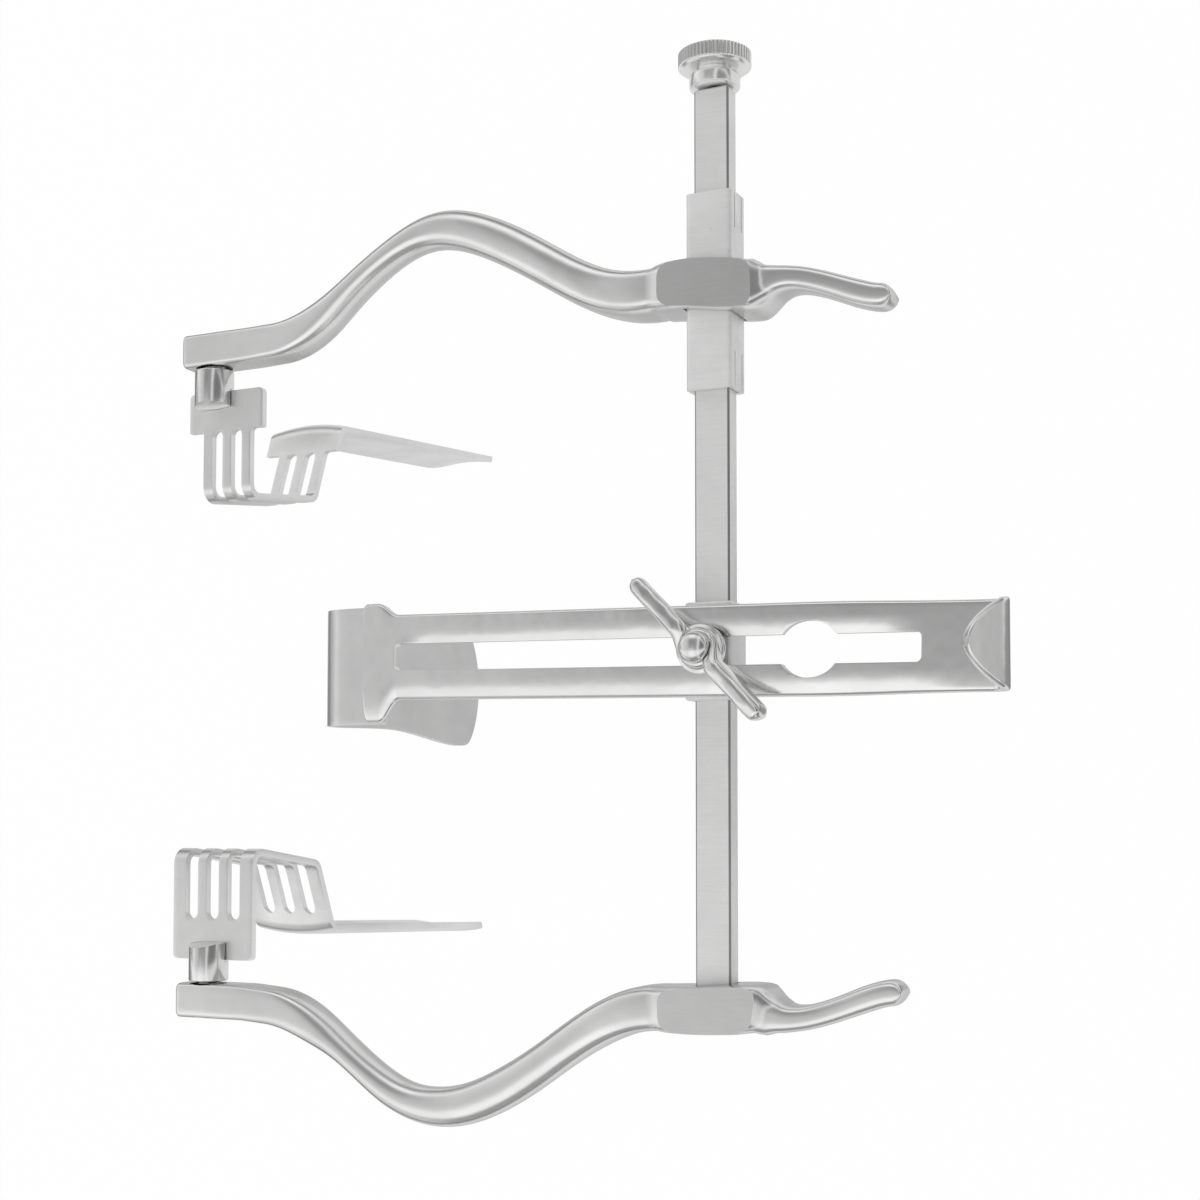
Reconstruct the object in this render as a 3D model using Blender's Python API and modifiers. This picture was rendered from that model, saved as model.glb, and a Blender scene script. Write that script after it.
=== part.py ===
# Self-retaining bladder retractor in stainless steel.
# X runs from the lateral blades (-X) to the finger handles (+X), Y along the cross bar,
# Z up out of the frame, so the blades reach down. The origin is on the clamp stud's axis,
# at the height of the arms' front faces. Sizes are in metres.
import bpy
import bmesh
from math import pi, sin, cos, tan, radians, hypot
from mathutils import Vector, Matrix

for old in list(bpy.data.objects):
    bpy.data.objects.remove(old, do_unlink=True)

# Fits: loose for what slides or turns, close for what is brazed or screwed together
running_gap = 0.00025
seat_gap = 0.0003

# Cross bar
bar_width = 0.0070
bar_thickness = 0.0042
bar_front_z = -0.0021
bar_head_y = 0.1072
bar_edge = 0.0003

# Hubs of the two arms
hub_width = 0.0186
fixed_hub_height = 0.0090
sliding_hub_height = 0.0097
hub_depth = 0.0126
hub_front_z = 0.0012
hub_bevel = 0.0008
fixed_hub_y = -0.0663
sliding_hub_y = 0.0688
fixed_hub_lean = 0.0008
sliding_hub_lean = 0.0018

# Arms: a straight tip, an S up to the crest and an S down to the hub
tip_x = -0.1226
tip_y = 0.0698
tip_width = 0.0074
tip_depth = 0.0082
rise_start_x = -0.1000
crest_x = -0.0585
crest_y = 0.0880
fall_end_x = -0.0115
arm_width = 0.0068
arm_depth = 0.0072
arm_squareness = 2.8
tip_squareness = 7.0
squareness_run = 0.0120
arm_root_width = 0.0085
arm_root_depth = 0.0118
arm_front_z = 0.0

# Finger handles, from the bar's middle out to the handle's end and inwards by the drop
fixed_handle_length = 0.0360
sliding_handle_length = 0.0349
handle_drop = 0.0047
handle_width = 0.0044
handle_depth = 0.0062

# Sleeve that guides the sliding arm
sleeve_length = 0.0374
sleeve_middle_y = 0.0680
sleeve_side_wall = 0.0009
sleeve_face_wall = 0.0014
sleeve_corner = 0.0009
slit_length = 0.0070
slit_width = 0.0005
slit_spacing = 0.0036

# End knob with its screw
knob_collar_diameter = 0.0097
knob_collar_height = 0.0026
knob_neck_diameter = 0.0072
knob_neck_height = 0.0010
knob_head_diameter = 0.0139
knob_head_height = 0.0036
knob_ridges = 48
knob_ridge_depth = 0.00032
knob_screw_diameter = 0.0024
knob_screw_length = 0.0090

# Swivel pins of the lateral blades
pin_diameter = 0.0084
pin_journal_diameter = 0.0048
pin_rivet_diameter = 0.0064
pin_rivet_height = 0.0012
pin_axis_x = -0.1168
pin_shoulder_gap = 0.0004
pin_reach = 0.0038

# Lateral blades
lateral_thickness = 0.0015
lateral_head_y = 0.0613
lateral_turn_y = 0.0380
lateral_back_turn_y = 0.0412
lateral_back_z = -0.0290
lateral_tongue_z = -0.0352
lateral_bend_radius = 0.0026
lateral_end_corner = 0.0050
lateral_crown = 0.0007
upper_blade_width = 0.0192
upper_blade_offset = 0.0029
upper_tongue_y = 0.0582
upper_tongue_length = 0.0750
upper_blade_splay = 4.6
upper_tines = 3
upper_tine_width = 0.00225
upper_tine_pitch = 0.00505
upper_tine_shift = 0.0003
lower_blade_width = 0.0207
lower_blade_offset = 0.0006
lower_tongue_y = 0.0557
lower_tongue_length = 0.0730
lower_blade_splay = 2.6
lower_tines = 4
lower_tine_width = 0.0023
lower_tine_pitch = 0.0055
slot_end_y = 0.0528

# Carrier, stud, washer and wing nut
carrier_length = 0.0184
carrier_edge = 0.0006
stud_diameter = 0.0042
stud_top_z = 0.0092
stud_foot_depth = 0.0014
washer_diameter = 0.0092
washer_thickness = 0.0007
nut_flange_diameter = 0.0092
nut_flange_height = 0.0010
nut_hub_diameter = 0.0074
nut_hub_height = 0.0026
nut_height = 0.0044
wing_span = 0.0364
wing_angle = 134.0
wing_bend = 0.0031
wing_bend_length = 0.0054
wing_root_thickness = 0.0015
wing_thickness = 0.0031
wing_height = 0.0043

# Centre blade: slotted shank and bent tongue
shank_width = 0.0171
shank_end_width = 0.0160
shank_turn = -1.2
shank_shift = -0.0002
shank_thickness = 0.0018
shank_right_x = 0.0568
lip_radius = 0.0026
lip_turn = 128.0
lip_reach = 0.0072
lip_tip_width = 0.0016
head_left_x = -0.0742
head_width = 0.0240
head_middle_y = 0.0002
head_length = 0.0032
head_fillet = 0.0048
slot_left_x = -0.0668
slot_right_x = 0.0410
slot_width = 0.0054
slot_corner = 0.0010
keyhole_x = 0.0202
keyhole_length = 0.0119
keyhole_width = 0.0104
tongue_thickness = 0.0016
tongue_flange = 0.0040
nose_x = -0.0862
nose_bend_radius = 0.0054
nose_width = 0.0238
tongue_middle_y = -0.0002
tongue_waist_width = 0.0228
tongue_flare_width = 0.0280
tongue_depth = 0.0660
tongue_corner = 0.0045

# Values that follow from the sizes above
bar_back_z = bar_front_z - bar_thickness
bar_middle_z = bar_front_z - bar_thickness / 2
bar_foot_y = fixed_hub_y - fixed_hub_height / 2 + bar_edge
hub_back_z = hub_front_z - hub_depth
sleeve_width = bar_width + 2 * running_gap + 2 * sleeve_side_wall
sleeve_front_z = bar_front_z + running_gap + sleeve_face_wall
sleeve_back_z = bar_back_z - running_gap - sleeve_face_wall
carrier_front_z = sleeve_front_z + 0.0006
shank_back_z = carrier_front_z + seat_gap
shank_front_z = shank_back_z + shank_thickness
washer_back_z = shank_front_z + seat_gap
nut_back_z = washer_back_z + washer_thickness + seat_gap
pin_axis_z = arm_front_z - tip_depth / 2
lateral_plate_z = pin_axis_z - seat_gap - lateral_thickness / 2

steel_materials = {}
parts = bpy.data.collections.new("bladder_retractor")
tools = bpy.data.collections.new("cutters")
bpy.context.scene.collection.children.link(parts)
bpy.context.scene.collection.children.link(tools)


def steel(name, grey, roughness):
    if name not in steel_materials:
        material = bpy.data.materials.new(name)
        material.use_nodes = True
        shader = material.node_tree.nodes["Principled BSDF"]
        shader.inputs["Base Color"].default_value = (grey, grey, grey, 1)
        shader.inputs["Metallic"].default_value = 1.0
        shader.inputs["Roughness"].default_value = roughness
        steel_materials[name] = material
    return steel_materials[name]


def brushed():
    return steel("brushed_steel", 0.62, 0.38)


def satin():
    return steel("satin_steel", 0.66, 0.30)


def polished():
    return steel("polished_steel", 0.72, 0.14)


def finish(bm, name, material, collection):
    # Turns a bmesh into a smooth-shaded object with sharp edges kept sharp
    bmesh.ops.recalc_face_normals(bm, faces=bm.faces)
    mesh = bpy.data.meshes.new(name)
    bm.to_mesh(mesh)
    bm.free()
    mesh.shade_smooth()
    mesh.set_sharp_from_angle(angle=radians(32))
    obj = bpy.data.objects.new(name, mesh)
    if material:
        mesh.materials.append(material)
    collection.objects.link(obj)
    if collection is tools:
        obj.hide_render = True
        obj.display_type = "WIRE"
    return obj


def block(name, low, high, material=None, collection=tools, edge=0.0, segments=2, axis=None):
    # A box between two corners; edge rounds all its edges, or only those along one axis
    bm = bmesh.new()
    bmesh.ops.create_cube(bm, size=1.0)
    size = Vector(high) - Vector(low)
    middle = (Vector(high) + Vector(low)) / 2
    bmesh.ops.scale(bm, vec=size, verts=bm.verts)
    if edge:
        edges = list(bm.edges)
        if axis is not None:
            edges = [e for e in edges if abs((e.verts[0].co - e.verts[1].co)[axis]) > 0.5 * size[axis]]
        bmesh.ops.bevel(bm, geom=edges, offset=edge, segments=segments, affect="EDGES", profile=0.5)
    bmesh.ops.translate(bm, vec=middle, verts=bm.verts)
    return finish(bm, name, material, collection)


def rod(name, diameter, start, end, sides=32):
    # A round cutter between two points
    bm = bmesh.new()
    span = Vector(end) - Vector(start)
    bmesh.ops.create_cone(bm, cap_ends=True, segments=sides, radius1=diameter / 2,
                          radius2=diameter / 2, depth=span.length)
    turn = span.to_track_quat("Z", "Y").to_matrix().to_4x4()
    bmesh.ops.transform(bm, matrix=turn, verts=bm.verts)
    bmesh.ops.translate(bm, vec=(Vector(start) + Vector(end)) / 2, verts=bm.verts)
    return finish(bm, name, None, tools)


def boolean(obj, tool, operation="DIFFERENCE"):
    modifier = obj.modifiers.new(operation.lower() + "_" + tool.name, "BOOLEAN")
    modifier.operation = operation
    modifier.solver = "EXACT"
    modifier.object = tool


def turned(name, profile, origin, direction, material, steps=40):
    # A profile of (radius, height) pairs, top to bottom, turned about local Z with Screw
    mesh = bpy.data.meshes.new(name)
    bm = bmesh.new()
    points = [bm.verts.new((radius, 0, height)) for radius, height in profile]
    for first, second in zip(points, points[1:]):
        bm.edges.new((first, second))
    bm.to_mesh(mesh)
    bm.free()
    mesh.materials.append(material)
    obj = bpy.data.objects.new(name, mesh)
    parts.objects.link(obj)
    obj.location = origin
    obj.rotation_euler = Vector(direction).to_track_quat("Z", "Y").to_euler()
    screw = obj.modifiers.new("turn", "SCREW")
    screw.steps = steps
    screw.render_steps = steps
    screw.use_merge_vertices = True
    screw.merge_threshold = 0.00001
    screw.use_smooth_shade = True
    return obj


def set_origin(obj, point):
    # Moves an object's origin to a point of its joint's axis and leaves its shape in place
    obj.data.transform(Matrix.Translation(-Vector(point)))
    obj.location = point


def ease(value):
    return (1 - cos(pi * min(max(value, 0.0), 1.0))) / 2


def mix(first, second, share):
    return first + (second - first) * share


def rounded_ring(width, depth, squareness, count):
    # A superellipse: 2 is an ellipse, and higher values are boxier; its flats keep the full size
    ring = []
    reach = cos(pi / count) ** (2 / squareness)
    for step in range(count):
        angle = 2 * pi * (step + 0.5) / count
        across = abs(cos(angle)) ** (2 / squareness) * (1 if cos(angle) > 0 else -1)
        up = abs(sin(angle)) ** (2 / squareness) * (1 if sin(angle) > 0 else -1)
        ring.append((across / reach * width / 2, up / reach * depth / 2))
    return ring


def loft(name, stations, collection, material=None, count=20, reach=0.0):
    # Skins rings along a path; a station is (x, y, front z, width, depth, squareness), and each ring
    # stands across the run between stations at least the reach to either side
    bm = bmesh.new()
    rings = []
    for index, station in enumerate(stations):
        x, y, front, width, depth, squareness = station
        low, high = max(index - 1, 0), min(index + 1, len(stations) - 1)
        while low > 0 and x - stations[low][0] < reach:
            low -= 1
        while high < len(stations) - 1 and stations[high][0] - x < reach:
            high += 1
        before, after = stations[low], stations[high]
        run = hypot(after[0] - before[0], after[1] - before[1])
        across = Vector((-(after[1] - before[1]) / run, (after[0] - before[0]) / run, 0))
        middle = Vector((x, y, front - depth / 2))
        ring = rounded_ring(width, depth, squareness, count)
        rings.append([bm.verts.new(middle + across * a + Vector((0, 0, b))) for a, b in ring])
    for first, second in zip(rings, rings[1:]):
        for step in range(count):
            after = (step + 1) % count
            bm.faces.new((first[step], first[after], second[after], second[step]))
    bm.faces.new(rings[0])
    bm.faces.new(rings[-1][::-1])
    return finish(bm, name, material, collection)


def arm_stations(side, hub_y, lean, hub_height, handle_length):
    # The forging's middle line and section from the blade's end through the hub to the handle's end
    stations = []
    edge = 0.0009
    for inset, shrink in ((0.0, 0.0016), (0.0003, 0.0008), (edge, 0.0)):
        stations.append((tip_x + inset, tip_y, arm_front_z - shrink / 2,
                         tip_width - shrink, tip_depth - shrink, tip_squareness))
    count = 36
    start = tip_x + 0.0030
    entry_y = abs(hub_y) + lean / 2
    for step in range(count + 1):
        x = mix(start, fall_end_x, step / count)
        if x < crest_x:
            rise = ease((x - rise_start_x) / (crest_x - rise_start_x))
            y = mix(tip_y, crest_y, rise)
            width = mix(tip_width, arm_width, rise)
            depth = mix(tip_depth, arm_depth, rise)
            squareness = mix(tip_squareness, arm_squareness,
                             ease((x - rise_start_x + squareness_run) / (2.5 * squareness_run)))
            front = arm_front_z
        else:
            fall = ease((x - crest_x) / (fall_end_x - crest_x))
            root = ease((x - fall_end_x + 2 * squareness_run) / (2 * squareness_run))
            y = mix(crest_y, entry_y, fall)
            width = mix(arm_width, arm_root_width, root)
            depth = mix(arm_depth, arm_root_depth, root)
            squareness = mix(arm_squareness, 5.0, root)
            near_hub = ease((x - fall_end_x + squareness_run) / squareness_run)
            front = mix(arm_front_z, hub_front_z - hub_bevel, near_hub)
        stations.append((x, y, front, width, depth, squareness))
    stations += hub_stations(abs(hub_y), lean, hub_height)
    stations += handle_stations(abs(hub_y), hub_height, handle_length)
    return [(x, side * y, front, width, depth, squareness)
            for x, y, front, width, depth, squareness in stations]


def hub_stations(y, lean, hub_height):
    # A boxy block with a raised flat face, its outer end a little wider and further in
    half = hub_width / 2
    edge_z = hub_front_z - hub_bevel
    edge_depth = hub_depth - hub_bevel
    return [
        (-half - hub_bevel, y + lean / 2, edge_z, hub_height * 0.95, edge_depth, 6.0),
        (-half, y + lean / 2, hub_front_z, hub_height * 0.96, hub_depth, 8.0),
        (-half / 3, y + lean / 3, hub_front_z, hub_height * 0.99, hub_depth, 8.0),
        (half / 3, y - lean / 6, hub_front_z, hub_height * 1.02, hub_depth, 8.0),
        (half - hub_bevel, y - lean / 2, hub_front_z, hub_height, hub_depth, 8.0),
        (half, y - lean / 3, edge_z, hub_height * 0.95, edge_depth, 6.0),
    ]


def smooth_value(values, position):
    # Catmull-Rom value at a position counted in stations
    index = min(int(position), len(values) - 2)
    t = position - index
    before = values[max(index - 1, 0)]
    first, second = values[index], values[index + 1]
    after = values[min(index + 2, len(values) - 1)]
    slope_in = (second - before) / 2
    slope_out = (after - first) / 2
    a = 2 * first - 2 * second + slope_in + slope_out
    b = -3 * first + 3 * second - 2 * slope_in - slope_out
    return ((a * t + b) * t + slope_in) * t + first


def handle_stations(hub_y, hub_height, end):
    # Beside the hub the block narrows to a neck, and a slim finger piece curves inwards
    y = mix(hub_y, (abs(fixed_hub_y) + abs(sliding_hub_y)) / 2, 0.5)
    front = hub_front_z - hub_bevel
    keys = (
        (0.30 * end, y + 0.02 * handle_drop, front - 0.0004, hub_height * 0.82, hub_depth * 0.88, 5.0),
        (0.35 * end, y + 0.09 * handle_drop, front - 0.0006, hub_height * 0.64, hub_depth * 0.79, 4.4),
        (0.42 * end, y + 0.11 * handle_drop, front - 0.0008, handle_width * 1.10, hub_depth * 0.67, 3.8),
        (0.51 * end, y + 0.02 * handle_drop, front - 0.0010, handle_width, handle_depth * 1.12, 3.4),
        (0.61 * end, y - 0.20 * handle_drop, front - 0.0012, handle_width * 0.98, handle_depth, 3.2),
        (0.71 * end, y - 0.48 * handle_drop, front - 0.0013, handle_width, handle_depth, 3.2),
        (0.81 * end, y - 0.78 * handle_drop, front - 0.0013, handle_width * 1.04, handle_depth, 3.2),
        (0.90 * end, y - 1.00 * handle_drop, front - 0.0014, handle_width, handle_depth * 0.97, 3.2),
        (0.96 * end, y - 1.06 * handle_drop, front - 0.0018, handle_width * 0.80, handle_depth * 0.85, 3.0),
        (1.00 * end, y - 1.07 * handle_drop, front - 0.0026, handle_width * 0.42, handle_depth * 0.55, 2.8),
    )
    stations = []
    steps = 3
    for step in range(steps * (len(keys) - 1) + 1):
        stations.append(tuple(smooth_value([key[i] for key in keys], step / steps) for i in range(6)))
    return stations


def arm(name, side, hub_y, lean, hub_height, handle_length):
    # One forging: tip block, S-curved arm, hub and finger handle
    obj = loft(name, arm_stations(side, hub_y, lean, hub_height, handle_length), parts, satin(), 20, 0.004)
    outer = side * (tip_y + tip_width / 2)
    inner = side * (tip_y - tip_width / 2)
    journal = pin_journal_diameter + 2 * running_gap
    rivet = pin_rivet_diameter + 2 * running_gap
    boolean(obj, rod(name + "_pin_bore", journal, (pin_axis_x, inner - side * 0.001, pin_axis_z),
                     (pin_axis_x, outer + side * 0.001, pin_axis_z)))
    boolean(obj, rod(name + "_rivet_recess", rivet,
                     (pin_axis_x, outer - side * (pin_rivet_height + running_gap), pin_axis_z),
                     (pin_axis_x, outer + side * 0.001, pin_axis_z)))
    return obj


def fixed_arm():
    obj = arm("fixed_arm", -1, fixed_hub_y, fixed_hub_lean, fixed_hub_height, fixed_handle_length)
    gap = seat_gap
    pocket = block("fixed_arm_pocket",
                   (-bar_width / 2 - gap, fixed_hub_y - fixed_hub_height, bar_back_z - gap),
                   (bar_width / 2 + gap, fixed_hub_y + fixed_hub_height, bar_front_z + gap))
    boolean(obj, pocket)
    return obj


def sliding_arm():
    obj = arm("sliding_arm", 1, sliding_hub_y, sliding_hub_lean, sliding_hub_height,
              sliding_handle_length)
    gap = seat_gap
    slot = block("sliding_arm_slot",
                 (-sleeve_width / 2 - gap, sliding_hub_y - sliding_hub_height, sleeve_back_z - gap),
                 (sleeve_width / 2 + gap, sliding_hub_y + sliding_hub_height, sleeve_front_z + gap))
    boolean(obj, slot)
    return obj


def cross_bar():
    obj = block("cross_bar", (-bar_width / 2, bar_foot_y, bar_back_z),
                (bar_width / 2, bar_head_y, bar_front_z), brushed(), parts, bar_edge, 1)
    bore = rod("cross_bar_bore", knob_screw_diameter + 2 * seat_gap,
               (0, bar_head_y - knob_screw_length - 0.0010, bar_middle_z),
               (0, bar_head_y + 0.001, bar_middle_z), 24)
    boolean(obj, bore)
    return obj


def slide_sleeve():
    # Box sleeve whose side walls are slit at both ends to spring on the bar
    low_y = sleeve_middle_y - sleeve_length / 2
    high_y = sleeve_middle_y + sleeve_length / 2
    obj = block("slide_sleeve", (-sleeve_width / 2, low_y, sleeve_back_z),
                (sleeve_width / 2, high_y, sleeve_front_z), brushed(), parts, sleeve_corner, 3, 1)
    gap = running_gap
    boolean(obj, block("sleeve_bore", (-bar_width / 2 - gap, low_y - 0.001, bar_back_z - gap),
                       (bar_width / 2 + gap, high_y + 0.001, bar_front_z + gap)))
    for end_name, start, end in (("low", low_y - 0.001, low_y + slit_length),
                                 ("high", high_y - slit_length, high_y + 0.001)):
        for index, shift in enumerate((-0.5, 0.5)):
            z = bar_middle_z + shift * slit_spacing
            slit = block("sleeve_slit_%s_%d" % (end_name, index),
                         (-sleeve_width, start, z - slit_width / 2),
                         (sleeve_width, end, z + slit_width / 2))
            boolean(obj, slit)
    set_origin(obj, (0, sleeve_middle_y, bar_middle_z))
    return obj


def end_knob():
    # Screw, collar, neck and a straight-knurled head, skinned ring by ring about the bar's axis
    count = 2 * knob_ridges
    foot = bar_head_y - knob_screw_length
    collar = bar_head_y + seat_gap
    neck = collar + knob_collar_height
    head = neck + knob_neck_height
    top = head + knob_head_height
    edge = 0.0004
    screw_radius = knob_screw_diameter / 2
    collar_radius = knob_collar_diameter / 2
    head_radius = knob_head_diameter / 2
    rings = [
        (foot, screw_radius - edge, 0), (foot + edge, screw_radius, 0), (collar, screw_radius, 0),
        (collar, collar_radius - edge, 0), (collar + edge, collar_radius, 0),
        (neck - edge, collar_radius, 0), (neck, collar_radius - edge, 0),
        (neck, knob_neck_diameter / 2, 0), (head, knob_neck_diameter / 2, 0),
        (head, head_radius - 2 * edge, 0), (head + edge, head_radius - knob_ridge_depth, 0),
        (head + edge, head_radius, knob_ridge_depth), (top - edge, head_radius, knob_ridge_depth),
        (top - edge, head_radius - knob_ridge_depth, 0), (top, head_radius - 2 * edge, 0),
        (top + edge, head_radius * 0.45, 0),
    ]
    bm = bmesh.new()
    loops = []
    for y, radius, ridge in rings:
        loop = []
        for step in range(count):
            angle = 2 * pi * step / count
            reach = radius - (ridge if step % 2 else 0)
            loop.append(bm.verts.new((reach * cos(angle), y, reach * sin(angle))))
        loops.append(loop)
    for first, second in zip(loops, loops[1:]):
        for step in range(count):
            after = (step + 1) % count
            bm.faces.new((first[step], first[after], second[after], second[step]))
    bm.faces.new(loops[0][::-1])
    bm.faces.new(loops[-1])
    bmesh.ops.remove_doubles(bm, verts=bm.verts, dist=0.000001)
    bmesh.ops.dissolve_degenerate(bm, edges=bm.edges, dist=0.000001)
    bmesh.ops.translate(bm, vec=(0, 0, bar_middle_z), verts=bm.verts)
    obj = finish(bm, "end_knob", polished(), parts)
    set_origin(obj, (0, collar, bar_middle_z))
    return obj


def blade_pin(name, side, end_tilt):
    # Shouldered pin: its journal is riveted in the arm's tip, and the free end, cut back to half
    # and bevelled, lies on the blade's plate
    inner = tip_y - tip_width / 2
    outer = tip_y + tip_width / 2
    free = lateral_head_y - pin_reach
    shoulder = inner - pin_shoulder_gap
    radius = pin_diameter / 2
    journal = pin_journal_diameter / 2
    rivet = pin_rivet_diameter / 2
    edge = 0.0003
    profile = [(0, outer - 0.0001), (rivet - edge, outer - 0.0001), (rivet, outer - 0.0001 - edge),
               (rivet, outer - pin_rivet_height), (journal, outer - pin_rivet_height),
               (journal, shoulder), (radius - edge, shoulder), (radius, shoulder - edge),
               (radius, free), (0, free)]
    heights = [(r, h - shoulder) for r, h in profile]
    obj = turned(name, heights, (pin_axis_x, side * shoulder, pin_axis_z), (0, side, 0), polished())
    notch_top = pin_axis_z
    low, high = sorted((side * (lateral_head_y + seat_gap), side * (free - 0.003)))
    boolean(obj, block(name + "_notch", (pin_axis_x - pin_diameter, low, notch_top - pin_diameter),
                       (pin_axis_x + pin_diameter, high, notch_top)))
    bevel = block(name + "_bevel", (-pin_diameter, -pin_diameter, 0), (pin_diameter, 0, pin_diameter))
    turn = Matrix.Rotation(0.0 if side > 0 else pi, 4, "Z") @ Matrix.Rotation(radians(-end_tilt), 4, "X")
    bevel.data.transform(Matrix.Translation((pin_axis_x, side * free, notch_top)) @ turn)
    boolean(obj, bevel)
    return obj


def filleted_path(corners, radius, steps):
    # Straight runs between corners, joined by arcs
    points = [Vector(corners[0])]
    for before, corner, after in zip(corners, corners[1:], corners[2:]):
        corner = Vector(corner)
        back = (Vector(before) - corner).normalized()
        ahead = (Vector(after) - corner).normalized()
        turn = pi - back.angle(ahead)
        reach = radius * abs(sin(turn / 2) / cos(turn / 2))
        middle = corner + (back + ahead).normalized() * hypot(radius, reach)
        start = corner + back * reach - middle
        end = corner + ahead * reach - middle
        for step in range(steps + 1):
            share = step / steps
            blend = start * sin((1 - share) * turn) + end * sin(share * turn)
            points.append(middle + blend / sin(turn))
    points.append(Vector(corners[-1]))
    return points


def spread(start, end, count):
    # Points between two ends, without the ends
    return [start.lerp(end, (step + 1) / (count + 1)) for step in range(count)]


def sheet(name, path, across, halves, crowns, thickness, material, columns):
    # A bent sheet: rows follow a path, and each row has its own half width and crown
    bm = bmesh.new()
    rows = []
    for index, point in enumerate(path):
        before = path[max(index - 1, 0)]
        after = path[min(index + 1, len(path) - 1)]
        normal = (after - before).normalized().cross(across)
        row = []
        for column in range(columns + 1):
            share = 2 * column / columns - 1
            place = point + across * (share * halves[index]) + normal * (crowns[index] * (1 - share * share))
            row.append(bm.verts.new(place))
        rows.append(row)
    for first, second in zip(rows, rows[1:]):
        for column in range(columns):
            bm.faces.new((first[column], first[column + 1], second[column + 1], second[column]))
    mesh = bpy.data.meshes.new(name)
    bm.to_mesh(mesh)
    bm.free()
    mesh.materials.append(material)
    mesh.shade_smooth()
    obj = bpy.data.objects.new(name, mesh)
    parts.objects.link(obj)
    solidify = obj.modifiers.new("thickness", "SOLIDIFY")
    solidify.thickness = thickness
    solidify.offset = 0.0
    solidify.use_even_offset = True
    return obj


def corner_half(distance, radius, full):
    # Half width this far from an end whose corners are rounded
    inset = max(radius - distance, 0.0)
    return full - radius + (radius * radius - inset * inset) ** 0.5


def lateral_blade(name, side, width, offset, tongue_y, tongue_length, splay, tines, tine_width, pitch,
                  tine_shift):
    # Plate, tines down round the bladder's rim, and a solid tongue splayed outwards
    middle_x = pin_axis_x + offset
    tongue_turn = radians(splay)
    foot = (0, tongue_y + tongue_length * sin(tongue_turn),
            lateral_tongue_z - tongue_length * cos(tongue_turn))
    corners = [(0, lateral_head_y, lateral_plate_z), (0, lateral_turn_y, lateral_plate_z),
               (0, lateral_back_turn_y, lateral_back_z), (0, tongue_y, lateral_tongue_z), foot]
    bends = filleted_path(corners, lateral_bend_radius, 5)
    plate_corner = 0.0010
    start = [bends[0].lerp(bends[1], share * plate_corner / (bends[1] - bends[0]).length)
             for share in (0.0, 0.3, 1.0)]
    run = bends[-1] - bends[-2]
    length = run.length
    end_shares = [1 - lateral_end_corner * share / length for share in (1.0, 0.6, 0.3, 0.12, 0.0)]
    tongue = [bends[-2] + run * share for share in (0.16, 0.33, 0.5, 0.66, 0.8)]
    tongue += [bends[-2] + run * share for share in end_shares]
    path = start + bends[1:-1] + tongue
    half = width / 2
    halves = [corner_half((point - bends[0]).length, plate_corner, half) for point in start]
    halves += [half] * (len(bends) - 2)
    halves += [corner_half((bends[-1] - point).length, lateral_end_corner, half) for point in tongue]
    first_tongue = len(path) - len(tongue)
    crowns = [-lateral_crown * ease((index - first_tongue + 1) / 4) for index in range(len(path))]
    path = [Vector((middle_x, side * point.y, point.z)) for point in path]
    obj = sheet(name, path, Vector((1, 0, 0)), halves, [side * crown for crown in crowns],
                lateral_thickness, satin(), 8)
    slot = pitch - tine_width
    reach_z = (lateral_plate_z + 0.002, lateral_tongue_z)
    for index in range(tines - 1):
        x = middle_x + tine_shift + (index - (tines - 2) / 2) * pitch
        cut_slot(obj, "%s_slot_%d" % (name, index), x, slot, side, reach_z)
    if width > (tines - 1) * pitch + tine_width + 2 * tine_width:
        edge_low = middle_x + tine_shift - (tines - 1) / 2 * pitch - tine_width / 2
        edge_high = middle_x + tine_shift + (tines - 1) / 2 * pitch + tine_width / 2
        for label, x, outer in (("left", edge_low, -1), ("right", edge_high, 1)):
            cut_flank(obj, "%s_flank_%s" % (name, label), x, outer, side, reach_z)
    set_origin(obj, (pin_axis_x, side * lateral_head_y, pin_axis_z))
    return obj


def cut_slot(obj, name, x, width, side, reach_z):
    # A round-ended cutter through both legs of the blade
    low, high = sorted((side * (lateral_turn_y - 0.010), side * slot_end_y))
    boolean(obj, block(name, (x - width / 2, low, reach_z[1]), (x + width / 2, high, reach_z[0]),
                       edge=width * 0.49, segments=5, axis=2))


def cut_flank(obj, name, x, outer, side, reach_z):
    # Narrows the tines' outer flanks so that plate and tongue stand wider
    low, high = sorted((side * (lateral_turn_y - 0.010), side * slot_end_y))
    left, right = sorted((x, x + outer * 0.008))
    boolean(obj, block(name, (left, low, reach_z[1]), (right, high, reach_z[0]),
                       edge=0.0008, segments=3, axis=2))


def blade_carrier():
    half = carrier_length / 2
    obj = block("blade_carrier", (-sleeve_width / 2, -half, sleeve_back_z),
                (sleeve_width / 2, half, carrier_front_z), brushed(), parts, carrier_edge, 2)
    gap = running_gap
    boolean(obj, block("carrier_bore", (-bar_width / 2 - gap, -carrier_length, bar_back_z - gap),
                       (bar_width / 2 + gap, carrier_length, bar_front_z + gap)))
    boolean(obj, rod("carrier_stud_bore", stud_diameter + 2 * seat_gap,
                     (0, 0, bar_front_z), (0, 0, carrier_front_z + 0.001)))
    set_origin(obj, (0, 0, bar_middle_z))
    return obj


def clamp_stud():
    radius = stud_diameter / 2
    foot = carrier_front_z - stud_foot_depth
    top = stud_top_z
    dome = 0.0006
    profile = [(0, top), (radius * 0.55, top - 0.00008), (radius * 0.85, top - dome * 0.5),
               (radius, top - dome), (radius, foot), (0, foot)]
    return turned("clamp_stud", profile, (0, 0, 0), (0, 0, 1), polished(), 32)


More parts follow.
